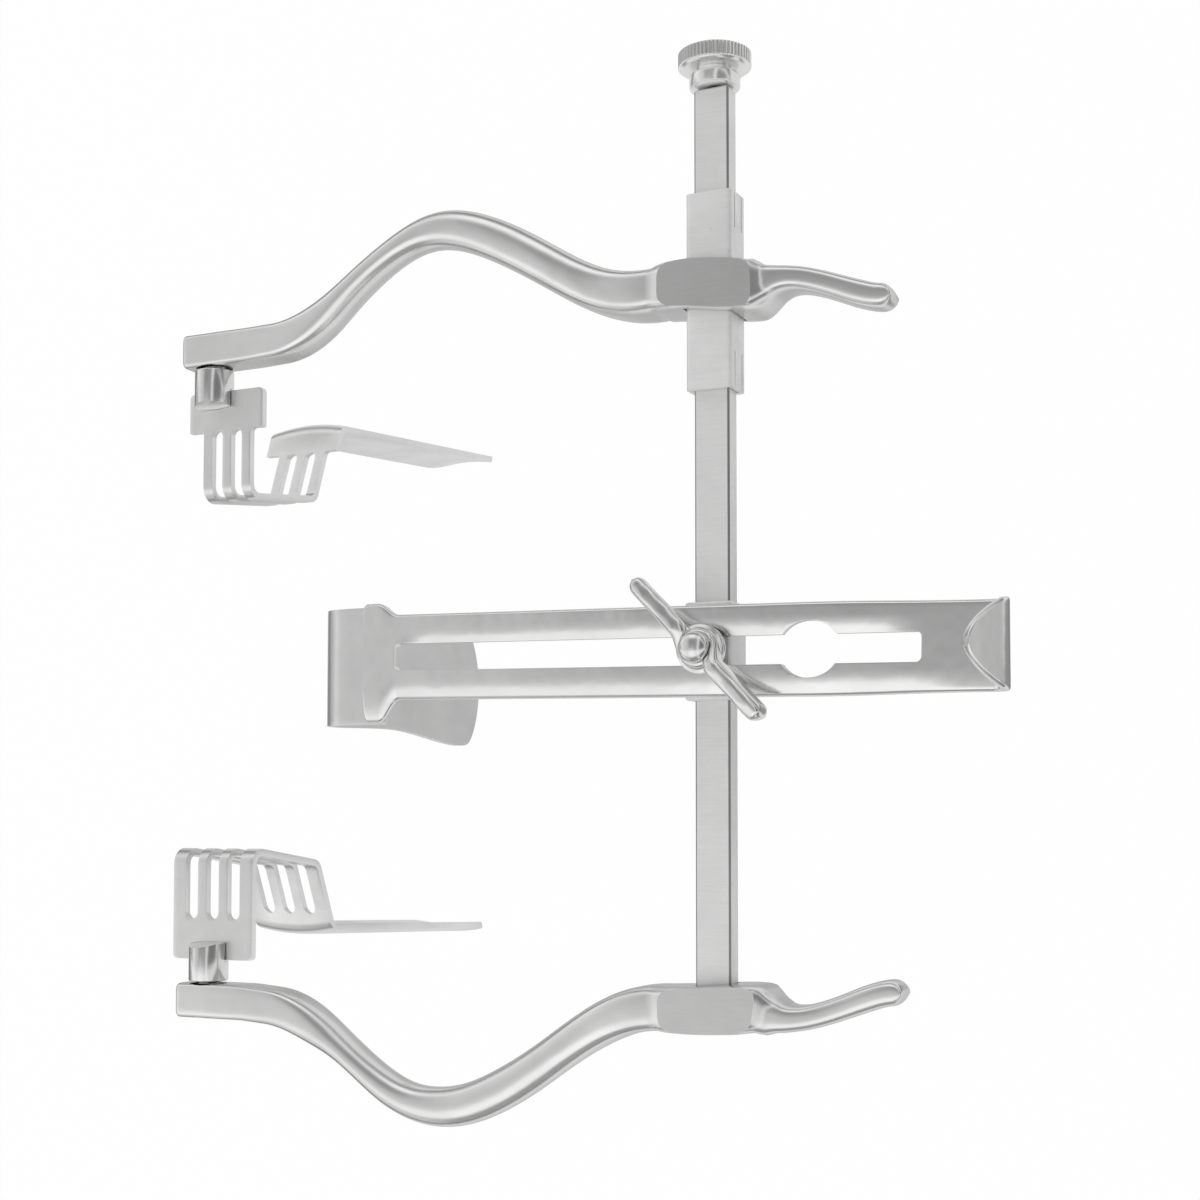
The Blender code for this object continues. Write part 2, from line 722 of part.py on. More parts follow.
def clamp_washer():
    outer = washer_diameter / 2
    inner = stud_diameter / 2 + seat_gap
    top = washer_back_z + washer_thickness
    profile = [(inner, top), (outer - 0.00015, top), (outer, top - 0.00015), (outer, washer_back_z),
               (inner, washer_back_z), (inner, top)]
    return turned("clamp_washer", profile, (0, 0, 0), (0, 0, 1), polished(), 40)


def wing_nut():
    # Flanged hub with two wings whose ridges start round the bore and swing out in an S
    flange = nut_flange_diameter / 2
    hub = nut_hub_diameter / 2
    inner = stud_diameter / 2 + seat_gap
    back = nut_back_z
    seat = back + nut_flange_height
    top = back + nut_hub_height
    edge = 0.0004
    profile = [(inner, top), (hub - 2 * edge, top), (hub - edge, top - edge), (hub, seat + 2 * edge),
               (flange - edge, seat), (flange, seat - edge), (flange, back), (inner, back), (inner, top)]
    obj = turned("wing_nut", profile, (0, 0, 0), (0, 0, 1), polished(), 40)
    for index, turn in enumerate((wing_angle, wing_angle + 180)):
        wing = loft("wing_%d" % index, wing_stations(top, back + nut_height), tools, None, 14)
        bore = rod("wing_bore_%d" % index, 2 * inner + edge,
                   (0, 0, back - nut_height), (0, 0, back + 2 * nut_height), 40)
        boolean(wing, bore)
        wing.data.transform(Matrix.Rotation(radians(turn), 4, "Z"))
        boolean(obj, wing, "UNION")
    return obj


def wing_stations(hub_top, top):
    # Section and place of one wing, from its ridge beside the bore to its rounded tip
    stations = []
    count = 20
    root = wing_root_thickness / 2
    for step in range(count + 1):
        share = step / count
        x = mix(root, wing_span / 2, share)
        grown = ease(x / wing_bend_length)
        close = min(1.0, (1 - share) / 0.12)
        rounding = (1 - (1 - close) ** 2) ** 0.5
        thickness = mix(wing_root_thickness, wing_thickness, grown) * max(rounding, 0.45)
        full = mix(wing_height * 0.6, wing_height, grown)
        height = full * max(rounding, 0.35)
        front = mix(hub_top, top, grown) - (full - height) / 2
        stations.append((x, wing_bend * (1 - grown), front, thickness, height, 2.6))
    return stations


def centre_blade_shank():
    # Flat T-headed, slotted shank whose right end curls up and back into a finger lip
    z = shank_back_z + shank_thickness / 2
    half = shank_width / 2
    end_half = shank_end_width / 2
    head_half = head_width / 2
    slope = tan(radians(shank_turn))
    neck_x = head_left_x + head_length
    corner = 0.0006
    path = [Vector((head_left_x + step * corner / 3, head_middle_y, z)) for step in range(4)]
    halves = [corner_half(step * corner / 3, corner, head_half) for step in range(4)]
    for step in range(9):
        x = neck_x + head_fillet * step / 8
        share = ease(step / 8)
        path.append(Vector((x, mix(head_middle_y, shank_shift + slope * x, share), z)))
        halves.append(mix(head_half, half, share))
    straight = path[-1].x
    bend_x = shank_right_x - lip_radius - shank_thickness / 2
    for step in range(1, 13):
        x = mix(straight, bend_x, step / 12)
        path.append(Vector((x, shank_shift + slope * x, z)))
        halves.append(mix(half, end_half, ease((x - 0.020) / (bend_x - 0.020))))
    turn = radians(lip_turn)
    steps = 9
    curl = []
    for step in range(1, steps + 1):
        angle = turn * step / steps
        curl.append(Vector((bend_x + lip_radius * sin(angle), path[-1].y, z + lip_radius * (1 - cos(angle)))))
    ahead = Vector((cos(turn), 0, sin(turn)))
    curl += [curl[-1] + ahead * lip_reach * share for share in (0.2, 0.4, 0.6, 0.78, 0.9, 0.97, 1.0)]
    crest = max(point.x for point in curl)
    apex = curl[-1].x
    for index, point in enumerate(curl):
        path.append(point)
        past = index >= steps / 2 + 1
        share = (point.x - apex) / (crest - apex) if past else 1.0
        halves.append(max(lip_tip_width / 2, end_half * share ** 0.5))
    obj = sheet("centre_blade_shank", path, Vector((0, 1, 0)), halves, [0.0] * len(path),
                shank_thickness, satin(), 8)
    swivel = Matrix.Rotation(radians(shank_turn), 4, "Z")
    slot = block("shank_slot", (slot_left_x, -slot_width / 2, z - 0.003),
                 (slot_right_x, slot_width / 2, z + 0.003), edge=slot_corner, segments=3, axis=2)
    keyhole = rod("shank_keyhole", keyhole_width, (0, 0, z - 0.003), (0, 0, z + 0.003), 40)
    stretch = keyhole_length / keyhole_width
    keyhole.data.transform(Matrix.Translation((keyhole_x, 0, 0)) @ Matrix.Diagonal((stretch, 1, 1, 1)))
    for cutter in (slot, keyhole):
        cutter.data.transform(swivel)
        boolean(obj, cutter)
    return obj


def centre_blade_tongue():
    # Brazed under the shank's head, it bends down over the nose and flares to a round end
    z = shank_back_z - seat_gap - tongue_thickness / 2
    y = tongue_middle_y
    corners = [(head_left_x + tongue_flange, y, z), (nose_x, y, z), (nose_x, y, -tongue_depth)]
    bends = filleted_path(corners, nose_bend_radius, 8)
    run = bends[-1] - bends[-2]
    shares = [0.12, 0.24, 0.36, 0.48, 0.6, 0.72, 0.82]
    ends = [1 - tongue_corner * share / run.length for share in (1.0, 0.6, 0.3, 0.1, 0.0)]
    tongue = [bends[-2] + run * share for share in shares + ends]
    path = bends[:-1] + tongue
    halves = [nose_width / 2] * (len(bends) - 1)
    for point in tongue:
        share = (point - bends[-2]).length / run.length
        width = mix(nose_width, tongue_waist_width, ease(share / 0.35))
        width = mix(width, tongue_flare_width, ease((share - 0.35) / 0.55))
        halves.append(corner_half((bends[-1] - point).length, tongue_corner, width / 2))
    obj = sheet("centre_blade_tongue", path, Vector((0, 1, 0)), halves, [0.0] * len(path),
                tongue_thickness, satin(), 8)
    return obj


cross_bar()
end_knob()
fixed_arm()
sliding_arm()
slide_sleeve()
blade_pin("upper_blade_pin", 1, 25)
blade_pin("lower_blade_pin", -1, 15)
lateral_blade("upper_lateral_blade", 1, upper_blade_width, upper_blade_offset, upper_tongue_y,
              upper_tongue_length, upper_blade_splay, upper_tines, upper_tine_width, upper_tine_pitch,
              upper_tine_shift)
lateral_blade("lower_lateral_blade", -1, lower_blade_width, lower_blade_offset, lower_tongue_y,
              lower_tongue_length, lower_blade_splay, lower_tines, lower_tine_width, lower_tine_pitch, 0.0)
blade_carrier()
clamp_stud()
clamp_washer()
wing_nut()
centre_blade_shank()
centre_blade_tongue()
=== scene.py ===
import bpy
import bmesh
from math import pi, sin, cos, tan, radians, hypot
from mathutils import Vector, Matrix


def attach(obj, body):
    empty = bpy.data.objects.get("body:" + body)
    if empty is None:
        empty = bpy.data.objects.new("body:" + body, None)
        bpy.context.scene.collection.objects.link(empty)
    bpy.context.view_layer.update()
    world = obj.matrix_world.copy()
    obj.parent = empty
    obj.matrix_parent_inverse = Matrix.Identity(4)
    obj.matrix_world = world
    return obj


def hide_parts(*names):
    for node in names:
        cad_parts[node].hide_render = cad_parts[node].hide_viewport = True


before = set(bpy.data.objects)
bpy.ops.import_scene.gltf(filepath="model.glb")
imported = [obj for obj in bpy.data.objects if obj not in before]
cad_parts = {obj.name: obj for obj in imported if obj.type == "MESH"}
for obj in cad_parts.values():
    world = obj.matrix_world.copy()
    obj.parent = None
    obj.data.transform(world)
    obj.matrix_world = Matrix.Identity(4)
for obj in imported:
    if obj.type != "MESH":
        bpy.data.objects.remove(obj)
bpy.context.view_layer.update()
mm = 0.001  # sizes below are in millimetres
print("frame loaded")


def newObject(name, data):
    obj = bpy.data.objects.new(name, data)
    bpy.context.scene.collection.objects.link(obj)
    return obj


# camera at the photograph's place, above the handles' side and a little below the middle

cameraView = {
    "place": (125.0, -31.0, 309.7),
    "right": (0.9014, 0.0005, -0.4330),
    "up": (0.0197, 0.9989, 0.0422),
    "back": (0.4326, -0.0465, 0.9004),
    "focalPixels": 1802.7,
    "middlePixels": (592.29, 733.92),
    "picturePixels": 1200.0,
    "sensorWidth": 36.0,
}


def addCamera(size):
    data = bpy.data.cameras.new("photoCamera")
    camera = newObject("photoCamera", data)
    pixels = size["picturePixels"]
    turn = Matrix((size["right"], size["up"], size["back"])).transposed().to_4x4()
    camera.matrix_world = Matrix.Translation(Vector(size["place"]) * mm) @ turn
    data.sensor_fit = "HORIZONTAL"
    data.sensor_width = size["sensorWidth"]
    data.lens = size["focalPixels"] * size["sensorWidth"] / pixels
    data.shift_x = (pixels / 2 - size["middlePixels"][0]) / pixels
    data.shift_y = (size["middlePixels"][1] - pixels / 2) / pixels
    data.clip_start = 0.01
    data.clip_end = 20.0
    bpy.context.scene.camera = camera


addCamera(cameraView)

# nodes for the materials and for repeated shapes


def addNode(tree, kind, inputs=None, **settings):
    # an input is a fixed value, or another node's output to link
    node = tree.nodes.new(kind)
    for name, value in settings.items():
        setattr(node, name, value)
    for key, value in (inputs or {}).items():
        if isinstance(value, bpy.types.NodeSocket):
            tree.links.new(value, node.inputs[key])
        else:
            node.inputs[key].default_value = value
    return node


def newTree(name, kind, inputs, outputs):
    tree = bpy.data.node_groups.new(name, kind)
    for label, socketKind, value in inputs:
        socket = tree.interface.new_socket(label, in_out="INPUT", socket_type=socketKind)
        if value is not None:
            socket.default_value = value
    for label, socketKind in outputs:
        tree.interface.new_socket(label, in_out="OUTPUT", socket_type=socketKind)
    return tree, addNode(tree, "NodeGroupInput").outputs, addNode(tree, "NodeGroupOutput").inputs


def joined(tree, operation, *values):
    return addNode(tree, "ShaderNodeMath", dict(enumerate(values)), operation=operation).outputs[0]


def ranged(tree, value, low, high, first=0.0, last=1.0, **settings):
    return addNode(tree, "ShaderNodeMapRange", {"Value": value, "From Min": low, "From Max": high, "To Min": first,
                                                "To Max": last}, **settings).outputs["Result"]


def fading(tree, value, low, high):
    # 0 at low, 1 at high, smooth between
    return ranged(tree, value, low, high, interpolation_type="SMOOTHSTEP")


def mixed(tree, share, first, second):
    return addNode(tree, "ShaderNodeMix", {0: share, 6: first, 7: second}, data_type="RGBA").outputs[2]


def brushedGrainGroup():
    # stretched noise for the lines that a belt or a brush leaves
    tree, given, out = newTree("brushedGrain", "ShaderNodeTree", [
        ("Vector", "NodeSocketVector", (0, 0, 0)), ("Stretch", "NodeSocketVector", (1, 1, 1)),
        ("Scale", "NodeSocketFloat", 900.0)], [("Grain", "NodeSocketFloat"), ("Fine", "NodeSocketFloat")])
    stretched = addNode(tree, "ShaderNodeVectorMath", {0: given["Vector"], 1: given["Stretch"]},
                        operation="MULTIPLY").outputs[0]
    for label, faster, detail in (("Grain", 1.0, 4.0), ("Fine", 3.7, 2.0)):
        scale = joined(tree, "MULTIPLY", given["Scale"], faster)
        noise = addNode(tree, "ShaderNodeTexNoise", {"Vector": stretched, "Scale": scale, "Detail": detail})
        tree.links.new(noise.outputs["Fac"], out[label])
    return tree


def cloudToneGroup():
    # slow unevenness of hand polishing, with a few small pits
    tree, given, out = newTree("cloudTone", "ShaderNodeTree", [
        ("Vector", "NodeSocketVector", (0, 0, 0)), ("Scale", "NodeSocketFloat", 60.0)],
        [("Tone", "NodeSocketFloat"), ("Pits", "NodeSocketFloat")])
    cloud = addNode(tree, "ShaderNodeTexNoise", {"Vector": given["Vector"], "Scale": given["Scale"], "Detail": 3.0,
                                                 "Roughness": 0.55})
    spots = addNode(tree, "ShaderNodeTexVoronoi", {"Vector": given["Vector"], "Scale": 260.0, "Randomness": 1.0})
    tree.links.new(cloud.outputs["Fac"], out["Tone"])
    tree.links.new(ranged(tree, spots.outputs["Distance"], 0.035, 0.07, 1.0, 0.0), out["Pits"])
    return tree


brushedGrain = brushedGrainGroup()
cloudTone = cloudToneGroup()


def steelFinish(name, look):
    material = bpy.data.materials.new(name)
    material.use_nodes = True
    tree = material.node_tree
    shader = tree.nodes["Principled BSDF"].inputs
    shader["Metallic"].default_value = look["metallic"]
    place = addNode(tree, "ShaderNodeTexCoord").outputs["Object"]
    grain = addNode(tree, "ShaderNodeGroup", {"Vector": place, "Stretch": look["stretch"], "Scale": look["grainScale"]},
                    node_tree=brushedGrain).outputs
    cloud = addNode(tree, "ShaderNodeGroup", {"Vector": place, "Scale": look["cloudScale"]},
                    node_tree=cloudTone).outputs

    tone = joined(tree, "MULTIPLY_ADD", grain["Grain"], look["grainTone"], cloud["Tone"])
    shade = ranged(tree, tone, 0.35, 0.75 + look["grainTone"] * 0.5)
    low, high = look["greys"]
    colour = mixed(tree, shade, (low, low, low * 0.995, 1), (high, high, high * 0.995, 1))
    dirt = low * 0.55
    colour = mixed(tree, joined(tree, "MULTIPLY", cloud["Pits"], look["pits"]), colour, (dirt, dirt, dirt, 1))
    # painted shade: the colour is mixed towards dark grey where the surface turns away from the view, as far as the
    # finish's rim value
    facing = addNode(tree, "ShaderNodeLayerWeight").outputs["Facing"]
    colour = mixed(tree, ranged(tree, facing, 0.50, 0.95, 0.0, look["rim"]), colour, (0.2, 0.2, 0.2, 1))
    tree.links.new(colour, shader["Base Color"])

    rough, spread = look["roughness"], look["roughSpread"]
    tree.links.new(ranged(tree, cloud["Tone"], 0.3, 0.7, rough + spread, rough - spread), shader["Roughness"])

    # fine grain on the slow waviness of hand polishing
    wave = addNode(tree, "ShaderNodeBump", {"Height": cloud["Tone"], "Distance": look["wave"] * mm})
    relief = joined(tree, "ADD", grain["Grain"], grain["Fine"])
    bump = addNode(tree, "ShaderNodeBump", {"Height": relief, "Strength": look["bump"], "Distance": 0.00002,
                                            "Normal": wave.outputs["Normal"]})
    tree.links.new(bump.outputs["Normal"], shader["Normal"])
    return material


# each finish keeps to one side of roughness 0.274, where the denoiser's guide pictures change over
# rim: how far a finish's colour is painted darker where the surface turns away from the view (painted shade)
plainLook = {"metallic": 1.0, "roughSpread": 0.03, "stretch": (1.0, 1.0, 1.0), "grainScale": 420.0, "grainTone": 0.3,
             "cloudScale": 120.0, "pits": 0.0, "bump": 0.10, "rim": 0.0, "wave": 0.0}
finishLooks = {
    "matteBar": {"greys": (0.84, 0.97), "roughness": 0.50, "roughSpread": 0.05, "stretch": (0.25, 6.0, 1.0),
                 "grainScale": 520.0, "grainTone": 0.5, "cloudScale": 90.0, "pits": 0.10, "bump": 0.6, "metallic": 0.6},
    "matteSleeve": {"greys": (0.84, 0.97), "roughness": 0.48, "roughSpread": 0.05, "stretch": (0.2, 5.0, 1.0),
                    "grainScale": 600.0, "grainTone": 0.5, "cloudScale": 110.0, "pits": 0.25, "bump": 0.6,
                    "metallic": 0.6},
    "satinForging": {"greys": (0.78, 0.92), "roughness": 0.25, "roughSpread": 0.02, "stretch": (0.3, 1.0, 1.0),
                     "cloudScale": 45.0, "pits": 0.06, "bump": 0.16, "rim": 0.55, "wave": 0.25},
    "groundFace": {"greys": (0.72, 0.82), "roughness": 0.30, "roughSpread": 0.02, "stretch": (0.3, 3.0, 1.0),
                   "grainScale": 700.0, "grainTone": 0.4, "cloudScale": 130.0, "bump": 0.16},
    "satinBlade": {"greys": (0.78, 0.90), "roughness": 0.31, "stretch": (1.0, 1.0, 0.25), "cloudScale": 70.0,
                   "pits": 0.12, "bump": 0.20, "wave": 0.15},
    "satinShank": {"greys": (0.80, 0.88), "roughness": 0.20, "stretch": (0.25, 1.0, 1.0), "cloudScale": 60.0,
                   "pits": 0.06, "bump": 0.14, "rim": 0.4, "wave": 0.30},
    "polishedNut": {"greys": (0.76, 0.88), "roughness": 0.19, "grainScale": 350.0, "grainTone": 0.2, "pits": 0.05,
                    "bump": 0.06, "wave": 0.12},
    "turnedKnob": {"greys": (0.86, 0.95), "roughness": 0.20, "stretch": (1.0, 4.0, 1.0), "pits": 0.05, "bump": 0.12,
                   "metallic": 0.8},
    # painted reflection: the bar's chamfers are coloured dark grey where they would mirror dim surroundings
    "paintedDarkEdge": {"greys": (0.34, 0.46), "roughness": 0.34, "roughSpread": 0.04, "stretch": (1.0, 0.2, 1.0),
                      "grainScale": 520.0, "grainTone": 0.4, "cloudScale": 90.0},
    # painted shade: near black for the thin gaps under the knob's collar and at the pins' shoulders
    "paintedGapShade": {"greys": (0.012, 0.02), "roughness": 0.7, "roughSpread": 0.05, "grainScale": 500.0,
                 "cloudScale": 90.0, "bump": 0.2},
}
finishes = {name: steelFinish(name, {**plainLook, **look}) for name, look in finishLooks.items()}
print("finishes ready")

# small tools for making meshes


def toObject(bm, name, *materials):
    bmesh.ops.recalc_face_normals(bm, faces=bm.faces)
    mesh = bpy.data.meshes.new(name)
    bm.to_mesh(mesh)
    bm.free()
    for material in materials:
        mesh.materials.append(finishes[material])
    return newObject(name, mesh)


def cutWith(obj, tool, operation="DIFFERENCE"):
    if isinstance(tool, bmesh.types.BMesh):
        tool = toObject(tool, "cutter")
    step = obj.modifiers.new(operation, "BOOLEAN")
    step.operation = operation
    step.solver = "EXACT"
    step.object = tool


def softenEdges(obj, width, segments=3, angle=40.0):
    bevel = obj.modifiers.new("edges", "BEVEL")
    bevel.width = width * mm
    bevel.segments = segments
    bevel.limit_method = "ANGLE"
    bevel.angle_limit = radians(angle)


def bake(obj):
    # turns the modifiers' result into the object's own mesh and removes what they used
    tools = [step.object for step in obj.modifiers if step.type == "BOOLEAN" and step.object]
    graph = bpy.context.evaluated_depsgraph_get()
    mesh = bpy.data.meshes.new_from_object(obj.evaluated_get(graph), depsgraph=graph)
    obj.modifiers.clear()
    obj.data = mesh
    for tool in tools:
        if tool.name in bpy.data.objects:
            bpy.data.objects.remove(tool, do_unlink=True)
    return obj


def place(obj, body, slotName, *nodes, sharp=34.0):
    if obj.modifiers:
        bake(obj)
    obj.data.shade_smooth()
    obj.data.set_sharp_from_angle(angle=radians(sharp))
    for face in obj.data.polygons:
        if face.material_index == 1:  # ground faces, the bar's painted dark edges and the painted gap shade keep their crisp rims
            face.use_smooth = False
    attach(obj, body)
    if nodes:
        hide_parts(*nodes)
    return obj


def boxShape(low, high):
    bm = bmesh.new()
    bmesh.ops.create_cube(bm, size=1.0)
    low, high = Vector(low) * mm, Vector(high) * mm
    bmesh.ops.scale(bm, vec=high - low, verts=bm.verts)
    bmesh.ops.translate(bm, vec=(high + low) / 2, verts=bm.verts)
    return bm


def roundEdges(bm, width, segments, along=None):
    edges = list(bm.edges)
    if along is not None:
        edges = [e for e in edges if abs((e.verts[0].co - e.verts[1].co).normalized()[along]) > 0.9]
    bmesh.ops.bevel(bm, geom=edges, offset=width * mm, segments=segments, affect="EDGES", profile=0.5)


def rodShape(diameter, start, end, sides=64):
    bm = bmesh.new()
    start, end = Vector(start) * mm, Vector(end) * mm
    bmesh.ops.create_cone(bm, cap_ends=True, segments=sides, radius1=diameter * mm / 2,
                          radius2=diameter * mm / 2, depth=(end - start).length)
    turn = (end - start).to_track_quat("Z", "Y").to_matrix().to_4x4()
    bmesh.ops.transform(bm, matrix=Matrix.Translation((start + end) / 2) @ turn, verts=bm.verts)
    return bm


def skin(bm, loops, closed=True):
    # faces between neighbouring loops of the same length, and caps at both ends
    count = len(loops[0])
    for first, second in zip(loops, loops[1:]):
        for step in range(count):
            after = (step + 1) % count
            bm.faces.new((first[step], first[after], second[after], second[step]))
    if closed:
        bm.faces.new(loops[0])
        bm.faces.new(loops[-1][::-1])


def turnedShape(profile, steps=72):
    # (radius, height) pairs turned about Z; a radius of 0 closes to a pole, and a closed profile is welded
    bm = bmesh.new()
    loops = []
    for radius, height in profile:
        if radius == 0:
            loops.append([bm.verts.new((0, 0, height * mm))])
            continue
        loops.append([bm.verts.new((radius * mm * cos(2 * pi * k / steps), radius * mm * sin(2 * pi * k / steps),
                                    height * mm)) for k in range(steps)])
    for first, second in zip(loops, loops[1:]):
        for step in range(steps):
            after = (step + 1) % steps
            corners = [first[step % len(first)], first[after % len(first)],
                       second[after % len(second)], second[step % len(second)]]
            bm.faces.new(list(dict.fromkeys(corners)))
    if profile[0] == profile[-1]:
        bmesh.ops.remove_doubles(bm, verts=bm.verts, dist=0.000001)
    return bm


def seatAt(spot, direction):
    # carries a shape that was turned about Z to its place on another axis
    turn = Vector(direction).to_track_quat("Z", "Y").to_matrix().to_4x4()
    return Matrix.Translation(Vector(spot) * mm) @ turn


def ease(value):
    return (1 - cos(pi * min(max(value, 0.0), 1.0))) / 2


def mix(first, second, share):
    return first + (second - first) * share


def through(keys, x):
    # smooth values at x between rows that start with their own x
    index = 0
    while index < len(keys) - 2 and x > keys[index + 1][0]:
        index += 1
    before, first = keys[max(index - 1, 0)], keys[index]
    second, after = keys[index + 1], keys[min(index + 2, len(keys) - 1)]
    span = second[0] - first[0]
    t = min(max((x - first[0]) / span, 0.0), 1.0)
    values = []
    for n in range(1, len(first)):
        slopeIn = (second[n] - before[n]) / (second[0] - before[0]) * span
        slopeOut = (after[n] - first[n]) / (after[0] - first[0]) * span
        a = 2 * first[n] - 2 * second[n] + slopeIn + slopeOut
        b = 3 * second[n] - 3 * first[n] - 2 * slopeIn - slopeOut
        values.append(((a * t + b) * t + slopeIn) * t + first[n])
    return values


def roundedRing(width, depth, squareness, count):
    ring = []
    for step in range(count):
        angle = 2 * pi * (step + 0.5) / count
        across = abs(cos(angle)) ** (2 / squareness) * (1 if cos(angle) > 0 else -1)
        up = abs(sin(angle)) ** (2 / squareness) * (1 if sin(angle) > 0 else -1)
        ring.append((across * width / 2, up * depth / 2))
    return ring


# repeating tools by Geometry Nodes: a row of round-ended slots, and a ring of knurl ridges


def slotRowTree(material):
    tree, given, out = newTree("slotRow", "GeometryNodeTree", [
        ("Geometry", "NodeSocketGeometry", None), ("Count", "NodeSocketInt", 3), ("Pitch", "NodeSocketFloat", 0.005),
        ("Width", "NodeSocketFloat", 0.003), ("Length", "NodeSocketFloat", 0.02), ("Depth", "NodeSocketFloat", 0.03),
        ("Round", "NodeSocketFloat", 0.001)], [("Geometry", "NodeSocketGeometry")])
    outline = addNode(tree, "GeometryNodeCurvePrimitiveQuadrilateral", {"Width": given["Width"],
                                                                        "Height": given["Length"]})
    fillet = addNode(tree, "GeometryNodeFilletCurve", {"Curve": outline.outputs["Curve"], "Count": 8,
                                                       "Radius": given["Round"]}, mode="POLY")
    fill = addNode(tree, "GeometryNodeFillCurve", {"Curve": fillet.outputs["Curve"]}, mode="NGONS").outputs["Mesh"]
    raised = addNode(tree, "GeometryNodeExtrudeMesh", {"Mesh": fill, "Individual": False,
                                                       "Offset Scale": given["Depth"]})
    flipped = addNode(tree, "GeometryNodeFlipFaces", {"Mesh": fill})
    both = addNode(tree, "GeometryNodeJoinGeometry", {"Geometry": raised.outputs["Mesh"]})
    tree.links.new(flipped.outputs["Mesh"], both.inputs["Geometry"])
    weld = addNode(tree, "GeometryNodeMergeByDistance", {"Geometry": both.outputs["Geometry"], "Distance": 0.000005})
    step = addNode(tree, "ShaderNodeCombineXYZ", {"X": given["Pitch"]})
    row = addNode(tree, "GeometryNodeMeshLine", {"Count": given["Count"], "Offset": step.outputs["Vector"]},
                  mode="OFFSET")
    return endTree(tree, row.outputs["Mesh"], weld.outputs["Geometry"], out, material)


def ridgeRingTree(material):
    tree, given, out = newTree("ridgeRing", "GeometryNodeTree", [
        ("Geometry", "NodeSocketGeometry", None), ("Count", "NodeSocketInt", 56),
        ("Ring Radius", "NodeSocketFloat", 0.0066), ("Ridge Radius", "NodeSocketFloat", 0.0003),
        ("Height", "NodeSocketFloat", 0.003)], [("Geometry", "NodeSocketGeometry")])
    ring = addNode(tree, "GeometryNodeMeshCircle", {"Vertices": given["Count"], "Radius": given["Ring Radius"]})
    ridge = addNode(tree, "GeometryNodeMeshCylinder", {"Vertices": 10, "Radius": given["Ridge Radius"],
                                                       "Depth": given["Height"]})
    return endTree(tree, ring.outputs["Mesh"], ridge.outputs["Mesh"], out, material)


def endTree(tree, points, shape, out, material):
    copies = addNode(tree, "GeometryNodeInstanceOnPoints", {"Points": points, "Instance": shape})
    real = addNode(tree, "GeometryNodeRealizeInstances", {"Geometry": copies.outputs["Instances"]})
    paint = addNode(tree, "GeometryNodeSetMaterial", {"Geometry": real.outputs["Geometry"],
                                                      "Material": finishes[material]})
    tree.links.new(paint.outputs["Geometry"], out["Geometry"])
    return tree


def growTree(tree, name, values):
    # an object whose mesh is what the tree makes with these values
    obj = newObject(name, bpy.data.meshes.new(name))
    step = obj.modifiers.new(name, "NODES")
    step.node_group = tree
    for item in tree.interface.items_tree:
        if item.item_type == "SOCKET" and item.in_out == "INPUT" and item.name in values:
            step[item.identifier] = values[item.name]
    return bake(obj)


slotRow = slotRowTree("satinBlade")
ridgeRing = ridgeRingTree("turnedKnob")


def slotCutter(count, pitch, width, length, depth, round_, middle, low):
    # a row of slots along X, in the XY plane, cut upwards from low
    cutter = growTree(slotRow, "slots", {"Count": count, "Pitch": pitch * mm, "Width": width * mm,
                                         "Length": length * mm, "Depth": depth * mm, "Round": round_ * mm})
    start = middle[0] - (count - 1) * pitch / 2
    cutter.data.transform(Matrix.Translation(Vector((start, middle[1], low)) * mm))
    return cutter


# forged arms: tip block, S-curved arm, hub with a ground face, and finger handle

forging = {
    "tipX": -122.6, "tipY": 69.8, "tipWidth": 7.4, "tipDepth": 8.2, "tipSquareness": 7.0, "tipRim": 0.9,
    "riseX": -100.0, "crestX": -58.5, "crestY": 88.0, "fallX": -11.5,
    "armWidth": 6.8, "armDepth": 7.2, "armSquareness": 2.35,
    "rootWidth": 8.5, "rootDepth": 12.1, "rootFront": 0.7, "rootSquareness": 4.2,
    "hubFace": 1.2, "stationStep": 0.9, "ringPoints": 56, "endRadius": 2.3, "slotReach": 9.0,
    # lengths along X over which the section changes: how far before riseX and in all, and up to fallX
    "squareLead": 12, "squareRun": 30, "rootRun": 24, "frontRun": 16,
    # x, share of the lean, front, back, share of the hub's height, squareness
    "hub": [
        (-11.5, 0.5, 0.7, -11.4, 0.940, 4.2), (-10.3, 0.5, 1.05, -11.4, 0.950, 4.6),
        (-9.3, 0.5, 1.4, -11.4, 0.960, 5.0), (-7.5, 0.45, 2.0, -11.4, 0.972, 5.4),
        (-3.1, 0.33, 2.5, -11.4, 0.992, 5.6), (3.1, -0.15, 2.5, -11.4, 1.016, 5.6),
        (7.0, -0.42, 2.1, -11.4, 1.004, 5.4), (8.6, -0.45, 1.5, -11.3, 0.980, 5.0),
        (9.5, -0.25, 0.8, -11.2, 0.940, 4.6)],
    # share of the handle's end, outward shift, front, back, width, squareness
    "handle": [
        (0.30, 0.09, 0.1, -11.0, 7.5, 4.2), (0.35, 0.42, -0.2, -10.1, 5.9, 3.9), (0.42, 0.52, -0.4, -8.8, 4.85, 3.6),
        (0.51, 0.09, -0.6, -7.6, 4.45, 3.4), (0.61, -0.94, -0.8, -7.1, 4.4, 3.3), (0.71, -2.26, -0.9, -7.1, 4.5, 3.2),
        (0.81, -3.67, -0.9, -7.1, 4.7, 3.2), (0.90, -4.70, -0.9, -7.1, 4.7, 3.2), (0.96, -5.0, -0.9, -7.1, 4.7, 3.2),
        (1.00, -5.05, -0.9, -7.1, 4.7, 3.2)],
}
